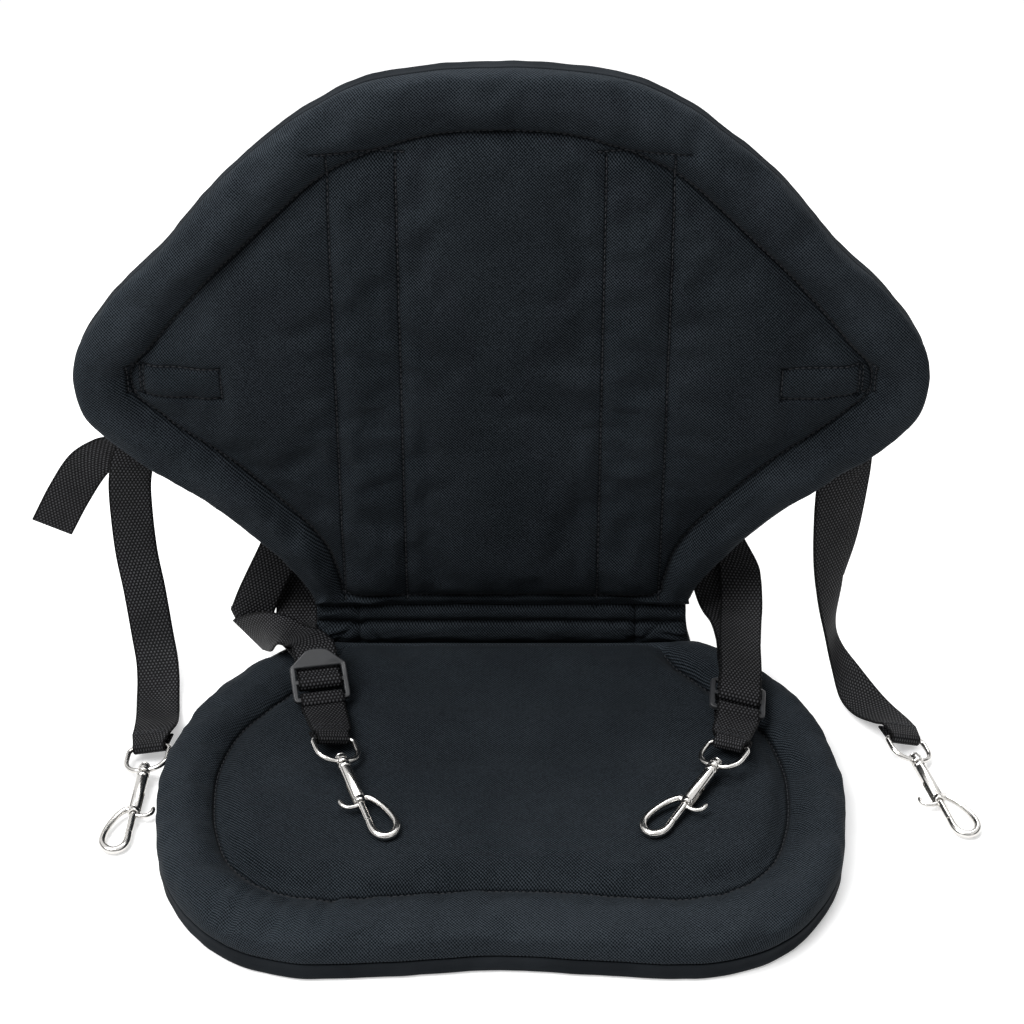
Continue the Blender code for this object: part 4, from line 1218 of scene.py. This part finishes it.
def fold_over(centre: Point, crease: Point, travel: Point, face: Point) -> Stations:
    """Stations of a flat fold about a crease, coming back on the side of face."""
    go, out = unit(np.array(travel, float)), unit(np.array(face, float))
    stations = []
    for k in range(7):
        a = math.pi * k / 6
        p = np.array(centre, float) + go * math.sin(a) + out * (1 - math.cos(a))
        stations.append((*p, *crease))
    return stations


def smooth_run(stations: Stations) -> Stations:
    """A round curve through stations."""
    return [tuple(p) for p in open_curve(stations, 6)]


def in_row(stations: Sequence[Point]) -> Stations:
    """Route stations moved so that the seat's middle is the origin."""
    return [(s[0], s[1] + SEAT_MIDDLE, *s[2:]) for s in stations]


@dataclass
class Strap:
    """One length of webbing along stations of (centre, half of its width)."""

    name: str
    node: str
    stations: Stations
    finish: bpy.types.Material
    held: str = "hung"
    thick: float = WEB_THICK
    lie: tuple[np.ndarray, ...] = ()

    def build(self) -> bpy.types.Object:
        """The webbing as one closed mesh."""
        s = open_curve(self.stations, 2)
        centre, half = s[:, :3], s[:, 3:]
        along = np.gradient(centre, axis=0)
        up = np.cross(along, half)
        up /= np.linalg.norm(up, axis=1)[:, None]
        run = np.concatenate([[0], np.cumsum(np.linalg.norm(np.diff(centre, axis=0), axis=1))])
        ripple = 0.18 * waves(np.stack([run, run * 0], 1), 14.0, len(self.name))
        section = [(a, 1.0) for a in (-0.95, -0.7, -0.4, 0.0, 0.4, 0.7, 0.95)]
        section = [(-0.99, 0.7)] + section + [(0.99, 0.7), (1.0, 0.0)]
        section += [(a, -b) for a, b in section[8::-1]] + [(-1.0, 0.0)]
        points, cloth = [], []
        for c, h, u, r, wave in zip(centre, half, up, run, ripple):
            for a, b in section:
                points.append(c + h * a + u * (b * self.thick / 2 + wave * abs(a) ** 2 * 0.5))
                cloth.append((a * WEB / 2, r))
        faces = capped_faces(len(s), len(section))
        mesh = make_mesh(self.name, np.array(points), faces, np.array(cloth))
        ob = make_piece(self.name, mesh, self.finish, nodes=(self.node,))
        self.lie = (centre, half, up)
        return ob

    def row(self, near: np.ndarray, out: np.ndarray) -> tuple[np.ndarray, np.ndarray]:
        """A line across the webbing for a row of stitches.

        Args:
            near: The point that it passes nearest to.
            out: The way that its face looks.

        Returns:
            Points on the webbing and its normals there.
        """
        centre, half, up = self.lie
        i = int(np.linalg.norm(centre - near - out * 2.0, axis=1).argmin())
        normal = up[i] if up[i] @ out > 0 else -up[i]
        path = np.array([centre[i] + half[i] * a + normal * self.thick / 2 for a in np.linspace(-0.86, 0.86, 9)])
        return path, np.tile(normal, (len(path), 1))


class Routes:
    """The routes of all the webbing, from the hooks' and buckles' axes."""

    def __init__(self) -> None:
        """Works out the hooks' and buckles' axes."""
        self.eyes = {w: axes_at(o, h, p, tilt) for w, (o, h, p, _, tilt) in HOOKS.items()}
        self.buckles = {w: axes_at(o, h, p, r % 180) for w, (o, h, p, r) in BUCKLES.items()}

    def through_buckle(self, word: str) -> Stations:
        """Webbing in from under the tab, up over the middle bar and back out under the tab."""
        up = -1 if BUCKLES[word][3] >= 180 else 1
        under = -2.5
        load = under - WEB_THICK - GAP
        path = [
            (-15.0, load - 0.2), (-6.0, load), (2.0, load + 0.1), (5.6, load + 1.0), (6.9, -0.6),
            (6.2, 1.4), (4.4, 2.6), (1.8, 2.6), (0.0, 1.4), (-0.8, -0.4), (-2.2, under + 0.3),
            (-5.0, under), (-8.0, under + 0.1), (-15.0, under + 0.6),
        ]
        return beside(self.buckles[word], [(d, n * up) for d, n in path], HALF_IN_BUCKLE)

    def round_eye(self, eye: Matrix) -> Stations:
        """Webbing round an eye's straight bar."""
        return loop_round(eye, EYE_BAR, *EYE_TURN, WEB_IN_EYE / 2, EYE_TURN_RADIUS)

    def round_end_bar(self, word: str, start: float, end: float, half: float = HALF_IN_BUCKLE) -> Stations:
        """Webbing round a buckle's end bar."""
        bar = (SLOT_B[1] + BUCKLE_END) / 2
        return loop_round(self.buckles[word], bar, start, end, half, END_BAR_TURN)

    def outer(self, word: str) -> Stations:
        """An outer strap, from its fold at the eye to its loose end."""
        eye = self.eyes[word]
        stations = beside(eye, [(PAST_BAR - 1, -1.6)], 11.8) + beside(eye, [(NEAR_BAR, -2.3)], 10.0)
        stations += self.round_eye(eye) + beside(eye, [(NEAR_BAR, 2.3)], 10.0)
        stations += smooth_run(beside(eye, [(PAST_BAR, 1.6)], 11.6) + in_row(RUNS[word]))
        return stations + self.through_buckle(word) + smooth_run(in_row(TAILS[word]))

    def inner(self, word: str) -> Stations:
        """An inner strap, from behind the backrest through its buckle and back."""
        stations = smooth_run(in_row(RUNS[word])) + self.through_buckle(word)
        if word == "inner_right":
            return stations + smooth_run(in_row(TAILS[word]))
        centre, crease = LEFT_CREASE
        turn = in_row(fold_over(centre, crease, (-0.44, 0.36, -0.77), (0.5, 0.81, 0.1)))
        before = smooth_run(in_row(TAILS["inner_left_fold"]) + turn[:1])
        return stations + before + turn[1:] + smooth_run(in_row(TAILS["inner_left_end"]))

    def anchor(self, word: str) -> Stations:
        """The webbing that holds an outer buckle: sewn flat, folded down, round the end bar."""
        axes = self.buckles[word]
        side = -1 if word == "outer_left" else 1
        slope = WEB / 2
        x = float(in_axes(axes, 0, BUCKLE_END, 0)[0])
        y = BACK_REAR + GAP + WEB_THICK / 2
        across = -side * slope
        stations: Stations = [(side * ANCHOR_START, y, ANCHOR_HEIGHT, 0, 0, slope)]
        stations += [(x - side * (slope + 1), y, ANCHOR_HEIGHT, 0, 0, slope)]
        stations += fold_over((x, y, ANCHOR_HEIGHT), (across, 0, slope), (side, 0, 1), (0, 1, 0))
        stations += [(x, y + 2.0, ANCHOR_HEIGHT - slope - 1.5, across, 0, 0)]
        end = [(BUCKLE_END + 4, 3.0), (BUCKLE_END + 16, 2.6)]
        loop = self.round_end_bar(word, -100, -260, -side * HALF_IN_BUCKLE)
        return in_row(stations) + loop + beside(axes, end, -side * HALF_IN_BUCKLE)

    def hook_loop(self, word: str) -> Stations:
        """The short sewn loop between an inner buckle and its hook."""
        eye, axes = self.eyes[word], self.buckles[word]
        bar = np.array(beside(eye, [(EYE_BAR, 0)], 12.0)[0])
        far = np.array(beside(axes, [(BUCKLE_END + 1.5, 0)], 12.0)[0])
        past = bar + (far - bar) * 9.5 / np.linalg.norm(far[:3] - bar[:3])
        up = np.array([*(in_axes(eye, 0, 0, 1.6) - in_axes(eye, 0, 0, 0)), 0, 0, 0])
        stations = [tuple(past - up)] + beside(eye, [(NEAR_BAR, -2.3)], 10.3)
        stations += self.round_eye(eye)
        bridge = beside(eye, [(NEAR_BAR, 2.3)], 10.3) + [tuple(past + up)]
        bridge += beside(axes, [(BUCKLE_END + 6, 2.4), (BUCKLE_END + 1.5, 3.2)], HALF_IN_BUCKLE)
        stations += smooth_run(bridge)
        stations += self.round_end_bar(word, 80, 280)
        return stations + beside(axes, [(BUCKLE_END + 2, -3.0), (BUCKLE_END + 5, -2.0)], HALF_IN_BUCKLE)

    def sew_eye_end(self, word: str, strap: Strap, rows: Stitching, places: tuple[float, ...]) -> None:
        """Sews the doubled webbing behind an eye, with a row of stitches across it at each place."""
        eye = self.eyes[word]
        out = in_axes(eye, 0, 0, 1) - in_axes(eye, 0, 0, 0)
        for d in places:
            rows.sew(*strap.row(in_axes(eye, 0, d, 0), out))


# Buckles and hooks


def from_booleans(name: str, base: bpy.types.Mesh, steps: list[tuple[str, bpy.types.Mesh]]) -> bpy.types.Mesh:
    """One mesh from a base and others joined to it or cut away.

    Args:
        name: The new mesh's name.
        base: The mesh to start from.
        steps: Pairs of UNION or DIFFERENCE and a mesh.

    Returns:
        The new mesh.
    """
    ob = add_object(name, base)
    used = [ob]
    for kind, shape in steps:
        guide = add_object("guide", shape)
        used.append(guide)
        mod = ob.modifiers.new(kind.lower(), "BOOLEAN")
        mod.operation = kind
        mod.solver = "EXACT"
        mod.object = guide
    mesh = evaluated(ob, name)
    for old in used:
        bpy.data.objects.remove(old, do_unlink=True)
    mesh.shade_smooth()
    mesh.set_sharp_from_angle(angle=math.radians(38))
    return mesh


def evaluated(ob: bpy.types.Object, name: str) -> bpy.types.Mesh:
    """The mesh of an object with its modifiers applied."""
    bpy.context.view_layer.update()
    graph = bpy.context.evaluated_depsgraph_get()
    mesh = bpy.data.meshes.new_from_object(ob.evaluated_get(graph))
    mesh.name = name
    return mesh


def softened(mesh: bpy.types.Mesh, width: float, angle: float = 32.0) -> bpy.types.Mesh:
    """A copy of a mesh with its sharp edges rounded.

    Args:
        mesh: The mesh.
        width: The rounding, in millimetres.
        angle: The least angle of an edge that is rounded, in degrees.

    Returns:
        The rounded mesh.
    """
    ob = add_object(mesh.name, mesh)
    mod = ob.modifiers.new("rounding", "BEVEL")
    mod.width = width * MM
    mod.segments = 3
    mod.limit_method = "ANGLE"
    mod.angle_limit = math.radians(angle)
    mod.harden_normals = True
    out = evaluated(ob, mesh.name)
    bpy.data.objects.remove(ob, do_unlink=True)
    return out


def turned(name: str, profile: Sequence[tuple[float, float]], sides: int) -> bpy.types.Mesh:
    """A body turned about the hook's own axis, from (d, radius) pairs."""
    points = []
    for d, r in profile:
        for k in range(sides):
            a = 2 * math.pi * k / sides
            points.append((r * math.cos(a), -d, r * math.sin(a)))
    return make_mesh(name, np.array(points), capped_faces(len(profile), sides))


def swept(name: str, path: np.ndarray, radii: Any, sides: int, closed: bool = False) -> bpy.types.Mesh:
    """A round rod along a flat path of (s, d) points."""
    n = len(path)
    points = []
    for i, (spot, r) in enumerate(zip(path, np.broadcast_to(radii, n))):
        before = path[i - 1] if closed or i else path[0]
        after = path[(i + 1) % n] if closed or i < n - 1 else path[-1]
        along = unit(after - before)
        side = np.array([-along[1], along[0]])
        for k in range(sides):
            a = 2 * math.pi * (k + 0.5) / sides
            p = spot + side * r * math.cos(a)
            points.append((p[0], -p[1], r * math.sin(a)))
    if closed:
        start = (n - 1) * sides
        joins = [(start + k, start + (k + 1) % sides, (k + 1) % sides, k) for k in range(sides)]
        faces = grid_faces(n, sides) + joins
    else:
        faces = capped_faces(n, sides)
    return make_mesh(name, np.array(points), faces)


@dataclass
class SnapHook:
    """A snap hook's meshes: body, swivel eye, bolt and spring, shared by all four hooks."""

    plate: bpy.types.Material
    steel: bpy.types.Material
    barrel_r: float = 3.5
    bore_r: float = 2.3
    bore_end: float = -27.5
    bolt_r: float = 2.0
    bolt_back: float = -13.5
    nose: float = 14.6
    slot_half: float = 1.6
    slot_end: float = -15.5

    def body(self) -> bpy.types.Mesh:
        """The barrel with its hook arm, bore, slot and riveted neck."""
        r, end = self.barrel_r, -BARREL_LENGTH
        profile = [
            (self.bore_end, 0.9), (self.bore_end, self.bore_r), (0, self.bore_r), (0, r - 0.5),
            (-0.15, r - 0.15), (-0.6, r), (-2.6, r), (-2.9, r - 0.22), (-3.3, r - 0.22), (-3.6, r),
            (end + 4.2, r), (end + 3.9, r - 0.25), (end + 3.4, r - 0.25), (end + 3.1, r), (end + 1.9, r + 0.15),
            (end + 0.7, r + 0.1), (end + 0.2, r - 0.3), (end, r - 0.8), (end, 1.8), (-37.1, 1.8), (-37.1, 2.75),
            (-37.4, 2.9), (-37.9, 2.75), (-38.4, 2.1), (-38.7, 1.2),
        ]
        stations = [
            (2.85, -3.0, 1.9), (5.2, -2.4, 1.9), (8.4, 1.6, 1.8), (11.4, 8.5, 1.8), (13.3, 16.5, 1.9),
            (12.9, 22.6, 2.1), (9.6, 26.8, 2.2), (5.0, 27.6, 2.2), (1.4, 24.8, 2.2), (0.0, 20.4, 2.1),
            (0.0, self.nose, 2.0),
        ]
        arm = open_curve(stations, 6)
        slot = bmesh_box((-6, self.slot_end, -self.slot_half), (-0.4, 2, self.slot_half))
        parts = [("UNION", swept("arm", arm[:, :2], arm[:, 2], 20)), ("DIFFERENCE", slot)]
        return from_booleans("hook_body", turned("barrel", profile, 40), parts)

    def eye(self) -> bpy.types.Mesh:
        """The swivel eye: a D ring with a bored boss."""
        ring = []
        front, bar, half = -34.2, EYE_BAR, 12.0
        for x, d, radius, start, count in (
            (half - 3.5, bar + 3.5, 3.5, -90, 7),
            (half - 9.0, front - 9.0, 9.0, 0, 14),
            (-half + 9.0, front - 9.0, 9.0, 90, 14),
            (-half + 3.5, bar + 3.5, 3.5, 180, 7),
        ):
            for k in range(count + 1):
                a = math.radians(start + 90 * k / count)
                ring.append((x + radius * math.cos(a), d + radius * math.sin(a)))
        boss = [(-31.3, 2.9), (-31.5, 3.4), (-32.0, 3.6), (-33.0, 3.6), (-33.3, 3.3), (-33.7, 3.3), (-34.0, 3.6)]
        boss += [(-35.9, 3.6), (-36.4, 3.4), (-36.8, 2.8)]
        hole = [(-29.0, 2.0), (-39.0, 2.0)]
        parts = [("UNION", turned("boss", boss, 36)), ("DIFFERENCE", turned("hole", hole, 36))]
        return from_booleans("swivel_eye", swept("ring", np.array(ring), 1.5, 18, closed=True), parts)

    def bolt(self) -> bpy.types.Mesh:
        """The sliding bolt with its curled thumb stud."""
        tip, r, back = self.nose - GAP, self.bolt_r, self.bolt_back
        profile = [(tip, r - 0.8), (tip - 0.15, r - 0.4), (tip - 0.5, r), (back + 0.4, r), (back, r - 0.4)]
        stud = open_curve([(-0.9, 0.9), (-4.2, 1.5), (-7.4, 1.0), (-9.8, -1.6), (-10.2, -5.6)], 6)
        radii = np.concatenate([np.full(len(stud) - 4, 1.3), [1.28, 1.2, 1.0, 0.6]])
        parts = [("UNION", swept("stud", stud, radii, 16))]
        return from_booleans("bolt", turned("rod", profile, 32), parts)

    def spring(self, turns: int = 7, wire: float = 0.25, radius: float = 1.7) -> bpy.types.Mesh:
        """The coil behind the bolt."""
        start, end = self.bore_end + 0.6, self.bolt_back - 0.6
        count = turns * 20
        points = []
        for i in range(count + 1):
            a = 2 * math.pi * i / 20
            d = start + (end - start) * i / count
            for k in range(8):
                b = math.pi / 4 * k
                r = radius + wire * math.cos(b)
                points.append((r * math.cos(a), -d - wire * math.sin(b), r * math.sin(a)))
        return make_mesh("spring", np.array(points), capped_faces(count + 1, 8))

    def build(self) -> None:
        """All four hooks in their places."""
        body, eye, bolt, spring = self.body(), self.eye(), self.bolt(), self.spring()
        for word, (origin, heading, pitch, roll, tilt) in HOOKS.items():
            axes = in_metres(axes_at(origin, heading, pitch, roll))
            eye_axes = in_metres(axes_at(origin, heading, pitch, tilt))
            for name, node, mesh, finish, slot, body_name, place in (
                ("snap_hook", "hook_body", body, self.plate, "nickel_plate", "hook", axes),
                ("hook_eye", "swivel_eye", eye, self.plate, "nickel_plate", "eye", eye_axes),
                ("hook_bolt", "bolt", bolt, self.plate, "nickel_plate", "bolt", axes),
                ("bolt_spring", "spring", spring, self.steel, "spring_steel", "hook", axes),
            ):
                nodes = (f"{node}_{word}",)
                coil = make_piece(f"{name}_{word}", mesh, finish, f"{body_name}_{word}", nodes, place)
            back = axes.to_3x3() @ Vector((0, 1, 0))
            rear = axes @ Vector((0, -self.bore_end * MM, 0))
            # The last piece made is the spring.
            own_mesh(coil)


def bmesh_box(low: Point, high: Point) -> bpy.types.Mesh:
    """A box from (s, d, n) corners."""
    flat = [(low[0], low[1]), (high[0], low[1]), (high[0], high[1]), (low[0], high[1])]
    points = [(s, -d, n) for n in (low[2], high[2]) for s, d in flat]
    faces = [(0, 1, 2, 3), (4, 5, 6, 7), (0, 1, 5, 4), (1, 2, 6, 5), (2, 3, 7, 6), (3, 0, 4, 7)]
    return make_mesh("box", np.array(points), faces)


@dataclass
class Buckle:
    """A ladder buckle: a frame with two slots and a thumb tab at one end."""

    plastic: bpy.types.Material
    half: float = 16.0
    bar: float = 3.0
    thick: float = 3.0
    rise: float = 0.3

    def outline(self) -> list[tuple[float, float]]:
        """The outer edge, from the tab's tip round to it again."""
        side = [(0, -15.5), (3.6, -15.4), (5.4, -14.9), (7.2, -13.8), (10.0, -11.4), (12.6, -9.2)]
        side += [(14.8, -7.4), (15.7, -6.4), (self.half, -5), (self.half, 0), (self.half, 6), (self.half, 12.6)]
        side += [(15.6, 14.2), (14.8, 15.1), (13.4, BUCKLE_END), (6.0, BUCKLE_END), (0, BUCKLE_END)]
        return side + [(-x, d) for x, d in side[-2:0:-1]]

    def mesh(self) -> bpy.types.Mesh:
        """The buckle with its edges rounded."""
        inner = self.half - self.bar
        loops = [self.outline()]
        for low, high in (SLOT_A, SLOT_B):
            loops.append([(-inner, low), (0, low), (inner, low), (inner, high), (0, high), (-inner, high)])
        flat = [p for loop in loops for p in loop]
        grid = [(x, d) for x in np.arange(-12, 12.1, 3.0) for d in (-13.0, -11.0, -9.0, -7.0)]
        flat += [(x, d) for x, d in grid if abs(x) < 17.0 + d * 0.9]
        edges, start = [], 0
        for loop in loops:
            edges += [(start + i, start + (i + 1) % len(loop)) for i in range(len(loop))]
            start += len(loop)
        made = delaunay_2d_cdt([Vector(p) for p in flat], edges, [], 0, 1e-6)
        where, faces = [tuple(v) for v in made[0]], []
        for f in made[2]:
            x, d = np.mean([where[i] for i in f], 0)
            in_slot = abs(x) < inner and any(low < d < high for low, high in (SLOT_A, SLOT_B))
            if not in_slot and self.holds(x, d):
                faces.append(tuple(f))
        n = len(where)
        points = []
        for face in (-1, 1):
            for x, d in where:
                lift = self.rise * max(0.0, SLOT_A[0] - d)
                points.append((x, -d, face * self.thick / 2 + lift))
        rims = {}
        for f in faces:
            for a, b in zip(f, f[1:] + f[:1]):
                rims[(a, b)] = rims.get((a, b), 0) + 1
        walls = [(a, b, b + n, a + n) for a, b in rims if (b, a) not in rims]
        solid = faces + [tuple(i + n for i in f) for f in faces] + walls
        return softened(make_mesh("buckle", np.array(points), solid), 0.85)

    def holds(self, x: float, d: float) -> bool:
        """Whether a plan point lies inside the outer edge."""
        ring = np.array(self.outline())
        a, b = ring, np.roll(ring, -1, 0)
        spans = (a[:, 1] > d) != (b[:, 1] > d)
        rise = np.where(b[:, 1] == a[:, 1], 1.0, b[:, 1] - a[:, 1])
        return bool((spans & (x < a[:, 0] + (d - a[:, 1]) / rise * (b[:, 0] - a[:, 0]))).sum() % 2)

    def build(self) -> None:
        """All four buckles in their places."""
        mesh = self.mesh()
        for word, place in BUCKLES.items():
            node = f"buckle_{word}"
            axes = in_metres(axes_at(*place))
            make_piece(f"ladder_{node}", mesh, self.plastic, nodes=(node,), axes=axes)


# The stage


@dataclass
class Studio:
    """The camera, the pale floor and the soft light."""

    eye: tuple[float, float, float] = (0.0058, -1.0475, 0.8723)
    target: tuple[float, float, float] = (0.0058, 0.135, 0.1044)
    angle: float = 23.48
    lamp_size: float = 1.2

    def aim(self, ob: bpy.types.Object, place: Point, target: Point) -> None:
        """Puts a camera or lamp at a place and turns it towards a target."""
        ob.location = place
        ob.rotation_euler = (Vector(target) - Vector(place)).to_track_quat("-Z", "Y").to_euler()

    def camera(self) -> None:
        """A camera at the photograph's viewing angle."""
        data = bpy.data.cameras.new("camera")
        data.angle = math.radians(self.angle)
        data.clip_start = 0.05
        ob = add_object("camera", data)
        self.aim(ob, self.eye, self.target)
        bpy.context.scene.camera = ob

    def lamp(self, name: str, place: Point, size: float, power: float) -> None:
        """A soft square lamp that looks at the object."""
        data = bpy.data.lights.new(name, "AREA")
        data.size = size
        data.energy = power
        self.aim(add_object(name, data), place, (0, 0.05, 0.1))

    def flag(self, name: str, place: Point, size: tuple[float, float], turn: float) -> None:
        """A dark upright card that only the metal reflects, so that it has streaks.

        Args:
            name: Its name.
            place: The middle of its lower edge.
            size: Its width and height.
            turn: How far it is turned about its upright, in radians.
        """
        w, h = size[0] / 2, size[1]
        mesh = bpy.data.meshes.new(name)
        mesh.from_pydata([(-w, 0, 0), (w, 0, 0), (w, 0, h), (-w, 0, h)], [], [(0, 1, 2, 3)])
        mesh.materials.append(Graph(name, Base_Color=(0.01, 0.01, 0.01, 1), Roughness=1.0).material)
        ob = add_object(name, mesh)
        ob.location = place
        ob.rotation_euler = (0.0, 0.0, turn)
        ob.visible_camera = False
        ob.visible_diffuse = False
        ob.visible_shadow = False

    def floor(self) -> None:
        """A white floor that keeps the object's shadow."""
        mesh = bpy.data.meshes.new("floor")
        r, z = 6.0, -0.0005
        mesh.from_pydata([(-r, -r, z), (r, -r, z), (r, r, z), (-r, r, z)], [], [(0, 1, 2, 3)])
        g = Graph("floor", Base_Color=(0.86, 0.86, 0.86, 1), Roughness=0.9, Emission_Color=(1, 1, 1, 1))
        g.shader.inputs["Emission Strength"].default_value = 0.0
        sight = self.sight(g, ("Camera", "Glossy", "Transmission"))
        glow = g.node("ShaderNodeEmission", {}, {"Color": (1, 1, 1, 1), "Strength": 0.42})
        both = g.node("ShaderNodeAddShader", {}, {0: Term(g, g.shader.outputs[0]), 1: glow})
        near = g.node("ShaderNodeMixShader", {}, {0: sight, 1: Term(g, g.shader.outputs[0]), 2: both})
        away = g.node("ShaderNodeVectorMath", {"operation": "LENGTH"}, {0: g.place()}, "Value")
        far = g.node("ShaderNodeMapRange", {}, {"Value": away, "From Min": 0.6, "From Max": 1.3})
        white = g.node("ShaderNodeEmission", {}, {"Color": (1, 1, 1, 1), "Strength": 1.0})
        mixed = g.node("ShaderNodeMixShader", {}, {0: far * sight, 1: near, 2: white})
        g.tree.links.new(mixed.socket, g.tree.nodes["Material Output"].inputs["Surface"])
        mesh.materials.append(g.material)
        ob = add_object("floor", mesh)

    def sight(self, g: NodeTree, kinds: Sequence[str]) -> Term:
        """1 on rays of some kinds, such as those from the camera, and 0 on all others."""
        seen, *others = (g.node("ShaderNodeLightPath", {}, {}, f"Is {kind} Ray") for kind in kinds)
        for other in others:
            seen = seen.math("MAXIMUM", other)
        return seen

    def world(self) -> None:
        """A white surround that is seen at full strength and lights the object softly."""
        world = bpy.data.worlds.new("surround")
        world.use_nodes = True
        bpy.context.scene.world = world
        g = NodeTree(world.node_tree)
        back = g.tree.nodes["Background"]
        back.inputs["Color"].default_value = (1, 1, 1, 1)
        seen = self.sight(g, ("Camera", "Glossy"))
        level = g.node("ShaderNodeMapRange", {}, {"Value": seen, "To Min": 0.2, "To Max": 1.0})
        g.tree.links.new(level.socket, back.inputs["Strength"])

    def build(self) -> None:
        """Everything round the object."""
        self.camera()
        self.floor()
        self.world()
        for name, place, power in (("key", (-0.85, -0.5, 1.75), 40.0), ("rear", (0.2, 1.0, 1.8), 28.0)):
            self.lamp(name, place, self.lamp_size, power)
        for name, place, size, turn in (
            ("front_flag", (0.0, -2.6, 0.75), (4.0, 1.2), 0.0),
            ("rear_flag", (0.0, 2.4, 0.9), (4.0, 0.9), 0.0),
            ("left_flag", (-2.2, -0.2, 0.5), (3.0, 0.7), math.pi / 2),
            ("right_flag", (2.2, -0.2, 0.3), (3.0, 0.9), math.pi / 2),
        ):
            self.flag(name, place, size, turn)
        bpy.context.scene.view_settings.view_transform = "Standard"


# Putting it together


def box_lines(u: float, v: float, w: float, h: float) -> list[tuple[float, float]]:
    """The corners of an upright sewn box, its first one twice."""
    return [(u - w, v - h), (u + w, v - h), (u + w, v + h), (u - w, v + h), (u - w, v - h)]


def backrest_creases() -> list[Crease]:
    """The lines that are pressed into the backrest: the pocket tops and the sewn boxes at the tips."""
    out = []
    for side in (-1, 1):
        out.append(Crease((side * 101.0, CHANNEL_TOP + 1), (side * 50.0, CHANNEL_TOP), 2.4, 2.6))
        u, *rest = SEWN_BOXES[0]
        corners = box_lines(side * u, *rest)
        out += [Crease(a, b, 1.5, 1.7) for a, b in zip(corners, corners[1:])]
        out.append(Crease((side * 201.5, 190.0), (side * 201.5, 203.0), 1.2, 2.2))
    return out


def seat_creases() -> list[Crease]:
    """The small puckers across the seat's front rim."""
    out = []
    for x, depth in ((-141, 1.5), (-130, 2.1), (-121, 1.4), (-110, 2.3), (-99, 1.6), (-86, 2.0), (-71, 1.0)):
        away = abs(x + 105)
        out.append(Crease((x, -236.0 + away * 0.25), (x * 1.06, -263.0 + away * 0.3), depth * 1.3, 3.2))
    for x, depth in ((-30, 0.8), (44, 0.8), (92, 1.1), (128, 1.2)):
        out.append(Crease((x, -235.0), (x * 1.05, -258.0), depth, 3.0))
    out.append(Crease((-24.0, -256.0), (20.0, -250.0), 1.0, 3.0))
    return out


def sew_cushions(back: Cushion, seat: Cushion, thread: bpy.types.Material) -> None:
    """Adds the visible rows of stitches on both cushions."""
    rows = Stitching("backrest_stitching", thread)
    for side in (-1, 1):
        for line in (-CHANNEL_HALF, CHANNEL_HALF):
            x = side * STAY_AT + line
            path = np.array([(x, z) for z in np.arange(CHANNEL_FOOT, CHANNEL_TOP, 2.0)])
            rows.sew(*back.on_face(path))
        top = np.arange(*POCKET_TOP, 2.0)
        rows.sew(*back.on_face(np.array([(side * x, CHANNEL_TOP + POCKET_TOP_STITCH) for x in top])))
        for u, *rest in SEWN_BOXES:
            corners = box_lines(side * u, *rest)
            for a, b in zip(corners, corners[1:]):
                rows.sew(*back.on_face(np.linspace(a, b, 16)))
    rows.sew(*back.on_face(back.seam_line), closed=True)
    rows.build()
    ring = Stitching("seat_stitching", thread)
    firm = seat.sewn(seat.seam_line) > 0.5
    first = int(np.flatnonzero(~firm)[-1]) + 1
    ring.sew(*seat.on_face(np.roll(seat.seam_line, -first, axis=0)[: int(firm.sum())]))
    ring.build()


def main() -> None:
    """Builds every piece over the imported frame."""
    logging.basicConfig(level=logging.INFO, format="%(message)s")
    Studio().build()

    back_twill = TwillCover("backrest_twill", channels=True).make()
    seat_twill = TwillCover("seat_twill").make()
    under = PlainCloth().make()
    web = Webbing().make()
    thread = Thread().make()
    plate = Metal("nickel_plate").make()
    steel = Metal("spring_wire", (0.55, 0.55, 0.55), (0.42, 0.42, 0.42), 0.3).make()
    alloy = Metal("stay_bar", (0.62, 0.63, 0.64), (0.5, 0.5, 0.51), 0.35).make()

    back = Cushion("backrest_cushion", "backrest_pad", BACK_HALF, Lie.UPRIGHT, back_twill, BACK_SEED, BACK_CENTRE)
    back.creases, back.channels = backrest_creases(), True
    seat = Cushion("seat_cushion", "seat_pad", SEAT_HALF, Lie.FLAT, seat_twill, SEAT_SEED, SEAT_CENTRE)
    seat.creases, seat.open_rear, seat.top, seat.sink = seat_creases(), -13.0, PANEL - 0.1, 0.4
    back.build()
    seat.build()
    for name, node, half, lie, seed, centre in (
        ("backrest_rear_cloth", "backrest_rear_cover", BACK_HALF, Lie.UPRIGHT, BACK_SEED, BACK_CENTRE),
        ("seat_bottom_cloth", "seat_bottom_cover", SEAT_HALF, Lie.FLAT, SEAT_SEED, SEAT_CENTRE),
    ):
        CoverShell(name, node, half, lie, under, seed, centre).build()
    HingeFlap(seat_twill).build()
    sew_cushions(back, seat, thread)

    routes = Routes()
    rows = Stitching("webbing_stitching", thread, pitch=3.0, length=2.4)
    for word in ("outer_left", "outer_right"):
        strap = Strap(f"webbing_{word}", f"strap_{word}", routes.outer(word), web)
        strap.build()
        routes.sew_eye_end(word, strap, rows, (-61.0, -65.0))
        Strap(f"buckle_webbing_{word}", f"anchor_{word}", routes.anchor(word), web, "folded").build()
    for word in ("inner_left", "inner_right"):
        Strap(f"webbing_{word}", f"strap_{word}", routes.inner(word), web).build()
        loop = Strap(f"sewn_loop_{word}", f"hook_loop_{word}", routes.hook_loop(word), web, "folded")
        loop.build()
        routes.sew_eye_end(word, loop, rows, (-61.0, -67.0))
    rows.build()

    Buckle(MouldedPlastic().make()).build()
    SnapHook(plate, steel).build()
    for side in ("left", "right"):
        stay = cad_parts[f"stay_{side}"]
        stay.data.materials.clear()
        stay.data.materials.append(alloy)


if __name__ == "__main__":
    main()
